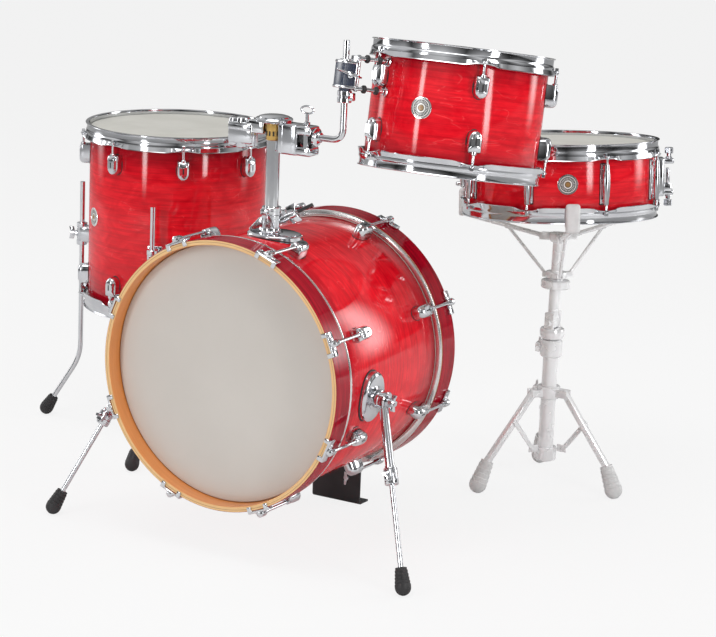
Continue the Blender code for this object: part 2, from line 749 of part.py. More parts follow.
def spur(drum, side, word):
    """A spur: bracket on the shell, folding tube with its clamp, sliding rod and rubber foot."""
    azimuth = 90 - side * SPUR_ANGLE
    height = drum.depth / 2 - SPUR_SETBACK
    seat = drum.frame @ outwards(azimuth, drum.radius, height)
    top = SPUR_PLATE_THICKNESS + SPUR_BOSS_HEIGHT
    hub_start = top + GAP
    hub_end = hub_start + SPUR_HUB_HEIGHT
    pin_end = hub_end + SPUR_PIN_LENGTH
    plate = cylinder(f"spur_plate_{word}", UNIT_RADIUS, SPUR_PLATE_THICKNESS + SPUR_PLATE_ROOT,
                     seat @ move(0, 0, -SPUR_PLATE_ROOT), stretch=(SPUR_PLATE_LENGTH, SPUR_PLATE_HEIGHT))
    # The outward frame's x runs along the drum, and its y along the circumference
    cut(plate, shell_relief(drum))
    boss = cylinder("spur_boss", SPUR_HUB_RADIUS, SPUR_BOSS_HEIGHT + OVERLAP,
                    seat @ move(0, 0, SPUR_PLATE_THICKNESS - OVERLAP))
    pin = cylinder("spur_pin", SPUR_PIN_RADIUS, pin_end - top + OVERLAP, seat @ move(0, 0, top - OVERLAP),
                   ROD_SIDES)
    wing = block("spur_wing", (SPUR_WING[1], SPUR_WING[2], SPUR_WING[0]), seat @ move(0, 0, pin_end))
    part(join(plate, boss, pin, wing), f"spur_bracket_{word}", "chrome")

    middle = (hub_start + hub_end) / 2
    pivot = seat @ Vector((0, 0, middle))
    axis = seat.to_3x3() @ Vector((0, 0, 1))
    target = Vector((pivot.x + side * SPUR_REACH_OUT, pivot.y - SPUR_REACH_FORWARD, 0))
    along = (target - pivot).normalized()
    folds = joint(f"spur_fold_{word}", pivot, axis * side)
    hub = cylinder("spur_hub", SPUR_HUB_RADIUS, SPUR_HUB_HEIGHT, seat @ move(0, 0, hub_start))
    tube = between("spur_stem", pivot, pivot + along * SPUR_TUBE_LENGTH, SPUR_TUBE_RADIUS, ROUND_SIDES)
    clamp = between("spur_clamp", pivot + along * (SPUR_TUBE_LENGTH - SPUR_CLAMP_LENGTH),
                    pivot + along * (SPUR_TUBE_LENGTH + OVERLAP), SPUR_CLAMP_RADIUS, ROUND_SIDES)
    pin_bore = cylinder("spur_pin_bore", bore_radius(SPUR_PIN_RADIUS, ROD_SIDES),
                        SPUR_HUB_HEIGHT + 2 * THROUGH, seat @ move(0, 0, hub_start - THROUGH), ROD_SIDES)
    rod_bore = between("spur_rod_bore", pivot + along * SPUR_BORE_START,
                       pivot + along * (SPUR_TUBE_LENGTH + THROUGH), bore_radius(SPUR_ROD_RADIUS, ROD_SIDES))
    part(cut(join(hub, tube, clamp), pin_bore, rod_bore), f"spur_tube_{word}", "chrome", folds)

    slides = joint(f"spur_length_{word}", pivot + along * SPUR_TUBE_LENGTH, along, folds)
    centre = pivot + along * ((SPUR_FOOT_RADIUS - pivot.z) / along.z)
    toe = centre + along * SPUR_FOOT_RADIUS
    rod_end = toe - along * (SPUR_FOOT_SOLE + GAP)
    part(between("spur_leg", pivot + along * SPUR_ROD_START, rod_end, SPUR_ROD_RADIUS), f"spur_rod_{word}",
         "chrome", slides)
    foot = rounded_foot("spur_sole", SPUR_FOOT_RADIUS, SPUR_FOOT_LENGTH, aligned(toe, -along),
                        bore_radius(SPUR_ROD_RADIUS, ROUND_SIDES), SPUR_FOOT_SOLE)
    part(foot, f"spur_foot_{word}", "black_rubber", slides)


def lift(drum):
    """Bent plate that holds the rear hoop off the floor, with its wing screw."""
    rear = drum.depth / 2 + WOOD_HOOP_FRONT + GAP
    hoop_bottom = BASS_FLOOR_CLEARANCE
    upright = block("lift_upright", (LIFT_WIDTH, LIFT_SHEET, LIFT_HEIGHT),
                    move(0, rear + LIFT_SHEET / 2, LIFT_HEIGHT / 2))
    foot = block("lift_foot", (LIFT_WIDTH, LIFT_FOOT, LIFT_SHEET),
                 move(0, rear + LIFT_FOOT / 2, LIFT_SHEET / 2))
    ledge = block("lift_ledge", (LIFT_LEDGE_WIDTH, LIFT_LEDGE_REACH + OVERLAP, LIFT_LEDGE_SHEET),
                  move(0, rear - (LIFT_LEDGE_REACH - OVERLAP) / 2, hoop_bottom - GAP - LIFT_LEDGE_SHEET / 2))
    screw_start = rear - LIFT_SCREW_LENGTH
    screw_place = aligned((LIFT_SCREW_X, screw_start, LIFT_SCREW_HEIGHT), (0, 1, 0))
    bore = cylinder("lift_bore", bore_radius(LIFT_SCREW_RADIUS, ROD_SIDES), LIFT_SCREW_LENGTH + 2 * THROUGH,
                    screw_place @ move(0, 0, -THROUGH), ROD_SIDES)
    part(cut(join(upright, foot, ledge), bore), "lift_plate", "black_steel")
    turns = joint("lift_screw", (LIFT_SCREW_X, rear, LIFT_SCREW_HEIGHT), (0, 1, 0))
    nut_start = LIFT_SCREW_LENGTH + LIFT_SHEET + GAP
    nut_height = LIFT_SCREW_NUT[1]
    shaft = cylinder("lift_shaft", LIFT_SCREW_RADIUS, nut_start + OVERLAP, screw_place, ROD_SIDES)
    wing = block("lift_wing", (LIFT_SCREW_WING[0], LIFT_SCREW_WING[2], LIFT_SCREW_WING[1]), screw_place)
    nut = cylinder("lift_nut", LIFT_SCREW_NUT[0] / 2, nut_height, screw_place @ move(0, 0, nut_start),
                   PIN_SIDES)
    part(join(shaft, wing, nut), "lift_screw", "chrome", turns)


def tom_mount(drum):
    """Base on the bass drum, collar and post. Returns the post's joint and the height of its top."""
    shell_top = drum.frame.translation.z + drum.radius
    post = Vector((POST_X, POST_Y, 0))
    receiver_top = shell_top + RECEIVER_HEIGHT
    plate_top = shell_top + MOUNT_PLATE_TOP
    plate = cylinder("mount_plate", UNIT_RADIUS, MOUNT_PLATE_TOP + MOUNT_PLATE_ROOT,
                     move(POST_X + MOUNT_PLATE_OFFSET, POST_Y, shell_top - MOUNT_PLATE_ROOT),
                     stretch=MOUNT_PLATE)
    cut(plate, shell_relief(drum))
    receiver = cylinder("mount_receiver", RECEIVER_RADIUS, receiver_top - plate_top + OVERLAP,
                        move(POST_X, POST_Y, plate_top - OVERLAP))
    outline = [(-GUSSET_REACH, 0), (0, 0), (0, GUSSET_HEIGHT), (-RECEIVER_RADIUS, GUSSET_HEIGHT)]
    gusset = sheet("mount_gusset", outline, GUSSET_SHEET,
                   move(POST_X, POST_Y, plate_top - OVERLAP) @ turn(90, "X"))
    bolt_place = (move(POST_X, POST_Y, shell_top + MOUNT_BOLT_RISE) @ turn(MOUNT_BOLT_AZIMUTH, "Z")
                  @ aligned((0, 0, 0), (1, 0, MOUNT_BOLT_SLOPE)))
    bolt = cylinder("mount_bolt", MOUNT_BOLT_RADIUS, MOUNT_BOLT_LENGTH, bolt_place)
    wing_middle = MOUNT_BOLT_LENGTH + MOUNT_WING[0] / 2 - OVERLAP
    wing = block("mount_wing", (MOUNT_WING[2], MOUNT_WING[1], MOUNT_WING[0]),
                 bolt_place @ move(0, 0, wing_middle))
    tip_start = MOUNT_BOLT_LENGTH + MOUNT_WING[0] - 2 * OVERLAP
    tip = cylinder("mount_tip", MOUNT_TIP_RADIUS, MOUNT_TIP_LENGTH, bolt_place @ move(0, 0, tip_start),
                   ROD_SIDES)
    inner = bore_radius(POST_RADIUS, ROUND_SIDES)
    bore = cylinder("post_bore", inner, RECEIVER_HEIGHT + 2 * THROUGH,
                    move(POST_X, POST_Y, shell_top - THROUGH))
    part(cut(join(plate, receiver, gusset, bolt, wing, tip), bore), "mount_base", "chrome")

    collar_bottom = receiver_top + GAP
    swivels = joint("post_swivel", post + Vector((0, 0, collar_bottom)), (0, 0, 1))
    outer = inner + MOUNT_COLLAR_WALL
    profile = [(outer, MOUNT_COLLAR_HEIGHT), (outer, 0), (inner, 0), (inner, MOUNT_COLLAR_HEIGHT)]
    collar = turned("collar_ring", profile, move(POST_X, POST_Y, collar_bottom), ROUND_SIDES)
    ear = block("collar_ear", (MOUNT_COLLAR_EAR[0], MOUNT_COLLAR_EAR[0], MOUNT_COLLAR_EAR[1]),
                move(POST_X, POST_Y - inner - MOUNT_COLLAR_EAR[0] / 2 - OVERLAP,
                     collar_bottom + MOUNT_COLLAR_HEIGHT / 2))
    part(join(collar, ear), "mount_collar", "chrome", swivels)

    post_top = shell_top + POST_ABOVE
    collar_top = collar_bottom + MOUNT_COLLAR_HEIGHT
    slides = joint("post_height", post + Vector((0, 0, collar_top)), (0, 0, 1), swivels)
    part(between("post", post + Vector((0, 0, shell_top - POST_BELOW)), post + Vector((0, 0, post_top)),
                 POST_RADIUS, ROUND_SIDES), "mount_post", "chrome", slides)
    return slides, post_top


def holder_head(carrier, post_top):
    """Head on the post with its clamp blocks and ring screw. Returns the height of the arm's socket."""
    inner = bore_radius(POST_RADIUS, CAP_SIDES)
    outer = inner + NECK_WALL
    roof = post_top + GAP
    underside = roof + CAP_HEIGHT / 2
    top = underside + CAP_HEIGHT
    neck_bottom = post_top - NECK_LENGTH
    profile = [(0, top), (CAP_RADIUS - CAP_BEVEL, top), (CAP_RADIUS, top - CAP_BEVEL),
               (CAP_RADIUS, underside), (outer, underside - CAP_BEVEL), (outer, neck_bottom),
               (inner, neck_bottom), (inner, roof), (0, roof)]
    cap = turned("holder_cap", profile, move(POST_X, POST_Y, 0), CAP_SIDES)
    block_middle = underside + OVERLAP - CLAMP_BLOCK_HEIGHT / 2
    shapes = []
    for word, (start, end) in (("right", RIGHT_BLOCK), ("left", LEFT_BLOCK)):
        shapes.append(block(f"holder_{word}_block", (end - start, CLAMP_BLOCK_DEPTH, CLAMP_BLOCK_HEIGHT),
                            move(POST_X + (start + end) / 2, POST_Y, block_middle)))
    shapes.append(block("holder_bridge", BRIDGE, move(POST_X - CAP_RADIUS + OVERLAP, POST_Y,
                                                      underside - BRIDGE[2] / 2 + OVERLAP)))
    arm_height = underside - ARM_DROP + CAP_HEIGHT
    socket = between("arm_bore", (POST_X + ARM_SOCKET, POST_Y, arm_height),
                     (POST_X + RIGHT_BLOCK[1] + THROUGH, POST_Y, arm_height),
                     bore_radius(ARM_RADIUS, ROUND_SIDES), ROUND_SIDES)
    screw_foot = arm_height + ARM_RADIUS + GAP
    screw_bore = between("ring_bore", (POST_X + RING_SCREW_X, POST_Y, arm_height),
                         (POST_X + RING_SCREW_X, POST_Y, top + THROUGH),
                         bore_radius(RING_SCREW_RADIUS, ROD_SIDES))
    part(cut(join(cap, *shapes), socket, screw_bore), "holder_head", "chrome", carrier)

    block_top = underside + OVERLAP
    ring_height = block_top + RING_SCREW_RISE + RING_RADIUS
    turns = joint("ring_screw", (POST_X + RING_SCREW_X, POST_Y, block_top), (0, 0, 1), carrier)
    shaft = between("ring_shaft", (POST_X + RING_SCREW_X, POST_Y, screw_foot),
                    (POST_X + RING_SCREW_X, POST_Y, block_top + RING_SCREW_RISE + OVERLAP), RING_SCREW_RADIUS)
    circle = oval_points(RING_RADIUS, RING_RADIUS)
    ring = wire("ring_loop", circle, RING_WIRE, move(POST_X + RING_SCREW_X, POST_Y, ring_height), closed=True)
    part(join(shaft, ring), "holder_ring_screw", "chrome", turns)
    return arm_height


def oval_points(half_length, half_depth):
    """Points round an oval in the xz plane."""
    angles = [radians(360 * count / ROUND_SIDES) for count in range(ROUND_SIDES)]
    return [(half_length * cos(angle), 0, half_depth * sin(angle)) for angle in angles]


def bent(start, corner, end, reach, steps):
    """Points from start to end with a round bend at the corner."""
    corner = Vector(corner)
    before = corner + (Vector(start) - corner).normalized() * reach
    after = corner + (Vector(end) - corner).normalized() * reach
    bend = []
    for step in range(steps + 1):
        share = step / steps
        bend.append(before * (1 - share) ** 2 + corner * 2 * share * (1 - share) + after * share ** 2)
    return [Vector(start), *bend, Vector(end)]


def tom_arm(carrier, arm_height):
    """L-shaped arm in the holder. Returns its joint, the foot of its upright rod and the rod's direction."""
    start = Vector((POST_X + ARM_SOCKET + GAP, POST_Y, arm_height))
    elbow = Vector((POST_X + ARM_ELBOW, POST_Y, arm_height))
    along = Vector((*ARM_LEAN, 1)).normalized()
    rolls = joint("arm_roll", (POST_X + RIGHT_BLOCK[1], POST_Y, arm_height), (1, 0, 0), carrier)
    points = bent(start, elbow, elbow + along * ARM_TOP, ARM_BEND, ARM_BEND_STEPS)
    rod = wire("arm_rod", points, ARM_RADIUS, Matrix(), resolution=FINE_WIRE)
    flange_start = Vector((POST_X + RIGHT_BLOCK[1] + GAP, POST_Y, arm_height))
    flange = between("arm_flange", flange_start, flange_start + Vector((ARM_FLANGE_LENGTH, 0, 0)),
                     ARM_FLANGE_RADIUS, ROUND_SIDES)
    part(join(rod, flange), "tom_arm", "chrome", rolls)
    return rolls, elbow, along


def rack_tom(carrier, elbow, along):
    """Memory collar, bracket and hanger on the arm's rod, and the tom that they carry."""
    anchor = elbow + along * BRACKET_HEIGHT
    frame = tom_frame(anchor)
    drum = Drum("rack_tom", frame, RACK_RADIUS, RACK_DEPTH, RACK_WALL, RACK_STEPS, RACK_LUGS, RACK_FIRST_LUG)
    radial, tangential, height = BRACKET_SIZE

    sleeve_end = anchor - along * (height / 2 + TOM_SLEEVE_LENGTH)
    collar_top = sleeve_end - along * GAP
    slides = joint("tom_height", collar_top, along, carrier)
    inner = bore_radius(ARM_RADIUS, ROUND_SIDES)
    profile = [(TOM_COLLAR_RADIUS, TOM_COLLAR_LENGTH), (TOM_COLLAR_RADIUS, 0), (inner, 0),
               (inner, TOM_COLLAR_LENGTH)]
    collar = turned("tom_collar", profile, aligned(collar_top - along * TOM_COLLAR_LENGTH, along), ROUND_SIDES)
    part(collar, "tom_memory_collar", "chrome", slides)

    swivels = joint("tom_swivel", collar_top, along, slides)
    seat = ring_frame(drum) @ move(drum.radius + BRACKET_REACH, 0, BRACKET_OFFSET)
    body = block("bracket_block", (radial, tangential, height), seat)
    sleeve = between("bracket_sleeve", sleeve_end, anchor, TOM_SLEEVE_RADIUS, ROUND_SIDES)
    rod_bore = between("bracket_bore", anchor - along * height, anchor + along * height, inner, ROUND_SIDES)
    # The loop screw bears on the rod from the side, along the block's y axis
    across = seat @ turn(-90, "X")
    screw_bore = cylinder("loop_bore", bore_radius(LOOP_SCREW_RADIUS, ROD_SIDES), tangential + THROUGH, across,
                          ROD_SIDES)
    part(cut(join(body, sleeve), rod_bore, screw_bore), "tom_bracket", "black_steel", swivels)

    screw_end = tangential / 2 + 2 * LOOP_WIRE
    turns = joint("loop_screw", across @ Vector((0, 0, tangential / 2)), across.to_3x3() @ Vector((0, 0, 1)),
                  swivels)
    shaft = cylinder("loop_shaft", LOOP_SCREW_RADIUS, screw_end - inner - GAP,
                     across @ move(0, 0, inner + GAP), ROD_SIDES)
    loop = wire("loop_ring", oval_points(LOOP_LENGTH / 2, LOOP_DEPTH / 2), LOOP_WIRE,
                across @ move(LOOP_SHIFT, 0, screw_end + LOOP_DEPTH / 2), closed=True)
    part(join(shaft, loop), "bracket_loop_screw", "chrome", turns)

    part(tom_hanger(drum), "tom_hanger", "chrome", swivels)
    tube = shell(drum)
    for side in (1, -1):
        join(tube, lugs(drum, side * RACK_LUG_OFFSET, LUG_LENGTH, LUG_WIDTH, LUG_HEIGHT))
    part(tube, "rack_tom_shell", "shell_lacquer", swivels)
    metal_hooped(drum, swivels, RACK_LUG_OFFSET, LUG_LENGTH, "coated_head", "smooth_head")


def tom_frame(anchor):
    """Frame of the rack tom whose bracket has its middle at the anchor."""
    tilt = aligned((0, 0, 0), (*RACK_TILT, 1))
    offset = tilt @ turn(RACK_FIRST_LUG, "Z") @ Vector((RACK_RADIUS + BRACKET_REACH, 0, BRACKET_OFFSET))
    return Matrix.Translation(anchor - offset) @ tilt


def tom_hanger(drum):
    """Plate beside the bracket and the two bushed rods that carry the tom's shell."""
    outer_face = drum.radius + BRACKET_REACH - BRACKET_SIZE[0] / 2 - GAP
    frame = ring_frame(drum)
    middle = BRACKET_OFFSET + HANGER_RISE
    plate = block("hanger_plate", (HANGER_SHEET, HANGER_WIDTH, HANGER_HEIGHT),
                  frame @ move(outer_face - HANGER_SHEET / 2, HANGER_SHIFT, middle))
    heights = [middle + side * HANGER_ROD_SPACING / 2 for side in (1, -1)]
    root = drum.radius - LUG_ROOT
    lines = [move(root, HANGER_ROD_SHIFT, height) @ turn(90, "Y") for height in heights]
    feet = cylinders("hanger_feet", HANGER_FOOT_RADIUS, LUG_ROOT + HANGER_FOOT_LENGTH, lines, frame, ROD_SIDES)
    rods = cylinders("hanger_rods", HANGER_ROD_RADIUS, outer_face - root - HANGER_SHEET / 2, lines, frame,
                     ROD_SIDES)
    seats = [line @ move(0, 0, LUG_ROOT + place - BUSH_LENGTH / 2) for line in lines for place in BUSH_PLACES]
    bushes = cylinders("hanger_bushes", BUSH_RADIUS, BUSH_LENGTH, seats, frame, ROD_SIDES)
    return cut(join(plate, rods, feet, bushes), shell_relief(drum))


def floor_tom():
    """Floor tom with brackets on its shell and three sliding legs."""
    middle = FLOOR_CLEARANCE + FLOOR_DEPTH / 2
    frame = move(*FLOOR_PLACE, middle)
    drum = Drum("floor_tom", frame, FLOOR_RADIUS, FLOOR_DEPTH, FLOOR_WALL, FLOOR_STEPS, FLOOR_LUGS,
                FLOOR_FIRST_LUG)
    tube = shell(drum)
    lug_height = FLOOR_DEPTH / 2 - FLOOR_LUG_INSET
    for side in (1, -1):
        join(tube, lugs(drum, side * lug_height, LUG_LENGTH, LUG_WIDTH, LUG_HEIGHT))
    depth, width, height = LEG_BRACKET
    rise = LEG_BRACKET_RISE - FLOOR_DEPTH / 2
    bracket_radius = drum.radius - LUG_ROOT + depth / 2
    leg_radius = drum.radius + LEG_STANDOFF
    brackets = [around(azimuth, bracket_radius, rise) for azimuth in LEG_AZIMUTHS]
    outer_face = drum.radius - LUG_ROOT + depth
    bolts = [outwards(azimuth, outer_face - OVERLAP, rise) for azimuth in LEG_AZIMUTHS]
    wings = [around(azimuth, outer_face + LEG_BOLT_LENGTH, rise) for azimuth in LEG_AZIMUTHS]
    bores = [around(azimuth, leg_radius, rise - height) for azimuth in LEG_AZIMUTHS]
    join(tube, blocks("leg_brackets", LEG_BRACKET, brackets, frame),
         cylinders("leg_bolts", LEG_BOLT_RADIUS, LEG_BOLT_LENGTH + OVERLAP, bolts, frame, ROD_SIDES),
         blocks("leg_wings", (LEG_WING[2], LEG_WING[0], LEG_WING[1]), wings, frame))
    cut(tube, cylinders("leg_bores", bore_radius(LEG_RADIUS, ROD_SIDES), 2 * height, bores, frame, ROD_SIDES))
    part(tube, "floor_tom_shell", "shell_lacquer")
    metal_hooped(drum, None, lug_height, LUG_LENGTH, "coated_head", "smooth_head")
    for word, azimuth, foot_radius in zip(("left", "front", "rear"), LEG_AZIMUTHS, LEG_FOOT_RADII):
        leg_frame = move(*FLOOR_PLACE, 0) @ turn(azimuth, "Z")
        bracket_height = FLOOR_CLEARANCE + LEG_BRACKET_RISE
        slides = joint(f"floor_leg_{word}", leg_frame @ Vector((leg_radius, 0, bracket_height)), (0, 0, 1))
        part(floor_leg(leg_frame, leg_radius, foot_radius), f"floor_tom_leg_{word}", "chrome", slides)


def floor_leg(frame, leg_radius, foot_radius):
    """Rod that runs down beside the shell, bends outwards and ends in a rubber foot."""
    top = Vector((leg_radius, 0, FLOOR_CLEARANCE + LEG_TOP))
    knee = Vector((leg_radius, 0, LEG_KNEE))
    toe = Vector((foot_radius, 0, 0))
    along = (toe - knee).normalized()
    centre = knee + along * ((LEG_FOOT_RADIUS - knee.z) / along.z)
    sole = centre + along * LEG_FOOT_RADIUS
    rod = wire("leg_rod", bent(top, knee, centre, LEG_BEND, LEG_BEND_STEPS), LEG_RADIUS, frame)
    foot = rounded_foot("leg_sole", LEG_FOOT_RADIUS, LEG_FOOT_LENGTH, frame @ aligned(sole, -along))
    return join(rod, foot)


def snare_drum(carrier):
    """Snare drum with its strainer, lever, butt plate and wires. Returns the drum."""
    frame = aligned(SNARE_CENTRE, (*SNARE_TILT, 1))
    drum = Drum("snare", frame, SNARE_RADIUS, SNARE_DEPTH, SNARE_WALL, SNARE_STEPS, SNARE_LUGS,
                SNARE_FIRST_LUG)
    tube = shell(drum)
    join(tube, lugs(drum, 0, SNARE_LUG_LENGTH, SNARE_LUG_WIDTH, LUG_HEIGHT))
    part(tube, "snare_shell", "shell_lacquer", carrier)
    metal_hooped(drum, carrier, 0, SNARE_LUG_LENGTH, "coated_head", "smooth_head")

    depth, width, height = STRAINER_SIZE
    face = drum.radius + depth
    body = block("strainer_body", (depth + LUG_ROOT, width, height),
                 frame @ around(STRAINER_AZIMUTH, face - (depth + LUG_ROOT) / 2, 0))
    shelf_radius = face + STRAINER_SHELF[0] / 2 - OVERLAP
    shelves = [around(STRAINER_AZIMUTH, shelf_radius, side * STRAINER_SHELF_RISE) for side in (1, -1)]
    knobs = [around(STRAINER_AZIMUTH, shelf_radius, STRAINER_SHELF_RISE),
             around(STRAINER_AZIMUTH, shelf_radius, -STRAINER_SHELF_RISE - KNOB_HEIGHT)]
    join(body, blocks("strainer_shelves", STRAINER_SHELF, shelves, frame),
         cylinders("strainer_knobs", KNOB_RADIUS, KNOB_HEIGHT, knobs, frame, ROD_SIDES))
    lever_pivot(drum, body, face, carrier)
    cut(body, shell_relief(drum))
    part(body, "snare_strainer", "chrome", carrier)

    depth, width, height = BUTT_SIZE
    azimuth = STRAINER_AZIMUTH + 180
    butt = block("butt_body", (depth + LUG_ROOT, width, height),
                 frame @ around(azimuth, drum.radius + (depth - LUG_ROOT) / 2, 0))
    screws = [outwards(azimuth, drum.radius + depth - OVERLAP, side * BUTT_SCREW_SPREAD) for side in (1, -1)]
    join(butt, cylinders("butt_screws", BUTT_SCREW_RADIUS, BUTT_SCREW_LENGTH, screws, frame, ROD_SIDES))
    part(cut(butt, shell_relief(drum)), "snare_butt", "chrome", carrier)

    film = drum.depth / 2 + 2 * GAP + FILM
    wires = block("wires_band", (WIRES_LENGTH, WIRES_WIDTH, WIRES_THICKNESS),
                  frame @ turn(STRAINER_AZIMUTH, "Z") @ move(0, 0, -film - WIRES_THICKNESS / 2))
    part(wires, "snare_wires", "chrome", carrier)


def lever_pivot(drum, body, face, carrier):
    """Throw-off lever between two ears on the strainer's body."""
    depth, width, height = LEVER_SIZE
    pivot_radius = face + LEVER_EAR[0] / 2
    frame = drum.frame @ turn(STRAINER_AZIMUTH, "Z")
    ear_shift = width / 2 + GAP + LEVER_EAR[1] / 2
    ears = [move(pivot_radius - OVERLAP, side * ear_shift, -LEVER_PIVOT_DROP) for side in (1, -1)]
    pivot = frame @ Vector((pivot_radius, 0, -LEVER_PIVOT_DROP))
    across = frame @ move(pivot_radius, 0, -LEVER_PIVOT_DROP) @ turn(90, "X")
    pin_length = width + 2 * LEVER_EAR[1]
    bore = cylinder("lever_bore", bore_radius(LEVER_PIN_RADIUS, PIN_SIDES), pin_length + 2 * THROUGH,
                    across @ move(0, 0, -pin_length / 2 - THROUGH), PIN_SIDES)
    join(body, blocks("lever_ears", LEVER_EAR, ears, frame))
    cut(body, bore)
    throws = joint("lever", pivot, across.to_3x3() @ Vector((0, 0, -1)), carrier)
    arm_middle = (height - depth) / 2 - LEVER_PIVOT_DROP
    arm = block("lever_arm", LEVER_SIZE, frame @ move(pivot_radius, 0, arm_middle))
    pin = cylinder("lever_pin", LEVER_PIN_RADIUS, pin_length, across @ move(0, 0, -pin_length / 2), PIN_SIDES)
    part(join(arm, pin), "snare_lever", "chrome", throws)


def stand():
    """Snare stand: lower tube with its folding tripod, height tube, tilter and three-arm basket."""
    axis = move(*STAND_PLACE, 0)
    pole = Vector((*STAND_PLACE, 0))
    azimuths = [STAND_FIRST_LEG + 360 / STAND_LEGS * count for count in range(STAND_LEGS)]
    leg_width = STAND_LEG_SIZE[1]
    strut_shift = leg_width / 2 + GAP + STRUT_SIZE[1] / 2

    profile = [(LOWER_TUBE_RADIUS, LOWER_TUBE_TOP), (LOWER_TUBE_RADIUS, LOWER_TUBE_BOTTOM),
               (LOWER_TUBE_BORE, LOWER_TUBE_BOTTOM), (LOWER_TUBE_BORE, LOWER_TUBE_TOP)]
    tube = turned("stand_tube", profile, axis, ROUND_SIDES)
    clamp = collar_ring("height_clamp", HEIGHT_CLAMP_RADIUS, LOWER_TUBE_BORE, HEIGHT_CLAMP_BOTTOM,
                        HEIGHT_CLAMP_HEIGHT, axis)
    hub = collar_ring("strut_hub", HUB_RADIUS, LOWER_TUBE_BORE, HUB_PIVOT_HEIGHT - HUB_HEIGHT,
                      HUB_HEIGHT, axis)
    hub_ears = ear_pair("hub_ears", azimuths, HUB_RADIUS, HUB_PIVOT_RADIUS, HUB_PIVOT_HEIGHT,
                        [strut_shift - STRUT_SIZE[1] / 2 - GAP - EAR_SHEET / 2], axis)
    pin_bore = bore_radius(PIN_RADIUS, PIN_SIDES)
    hub_bores = pin_lines("hub_bores", azimuths, HUB_PIVOT_RADIUS, HUB_PIVOT_HEIGHT, pin_bore,
                          leg_width + THROUGH, axis)
    part(cut(join(tube, clamp, hub, hub_ears), hub_bores), "stand_lower_tube", "pale_steel")

    collar_slides = joint("leg_collar", pole + Vector((0, 0, LEG_COLLAR_BOTTOM)), (0, 0, 1))
    collar = collar_ring("leg_collar_ring", LEG_COLLAR_RADIUS, LOWER_TUBE_RADIUS + GAP, LEG_COLLAR_BOTTOM,
                         LEG_COLLAR_HEIGHT, axis)
    ear_shift = leg_width / 2 + GAP + EAR_SHEET / 2
    ears = ear_pair("leg_ears", azimuths, LEG_COLLAR_RADIUS, LEG_PIVOT_RADIUS, LEG_PIVOT_HEIGHT,
                    [-ear_shift, ear_shift], axis)
    bores = pin_lines("leg_pin_bores", azimuths, LEG_PIVOT_RADIUS, LEG_PIVOT_HEIGHT, pin_bore,
                      leg_width + THROUGH, axis)
    part(cut(join(collar, ears), bores), "stand_leg_collar", "pale_steel", collar_slides)
    for word, azimuth in zip(("front_left", "right", "rear"), azimuths):
        stand_leg(word, axis @ turn(azimuth, "Z"), collar_slides, strut_shift)
    stand_top(axis, pole)


def collar_ring(name, outer, inner, bottom, height, axis):
    """Plain ring round the stand's tube."""
    profile = [(outer, bottom + height), (outer, bottom), (inner, bottom), (inner, bottom + height)]
    return turned(name, profile, axis, ROUND_SIDES)


def ear_pair(name, azimuths, ring_radius, pivot_radius, height, shifts, axis):
    """Flat ears that stand out from a ring beside each leg or strut."""
    inner = ring_radius - EAR_SHEET
    outer = pivot_radius + EAR_SIZE[1] / 2
    places = [around(azimuth, (inner + outer) / 2, height) @ move(0, shift, 0)
              for azimuth in azimuths for shift in shifts]
    return blocks(name, (outer - inner, EAR_SHEET, EAR_SIZE[1]), places, axis)


def pin_lines(name, azimuths, radius, height, pin_radius, length, axis):
    """Cylinders across each leg's plane, for pins or their bores."""
    places = [around(azimuth, radius, height) @ turn(90, "X") @ move(0, 0, -length / 2)
              for azimuth in azimuths]
    return cylinders(name, pin_radius, length, places, axis, PIN_SIDES)


def bar(name, start, end, size, overhang, frame, shift):
    """Flat bar in a leg's plane from one point of radius and height to another."""
    first = Vector((start[0], shift, start[1]))
    last = Vector((end[0], shift, end[1]))
    span = last - first
    middle = (first + last) / 2
    # x runs along the bar, y across the leg's plane
    sideways = Vector((0, 1, 0))
    forward = span.normalized()
    upward = forward.cross(sideways)
    place = Matrix((forward, sideways, upward)).transposed().to_4x4()
    place.translation = middle
    return block(name, (span.length + overhang, size[1], size[0]), frame @ place)


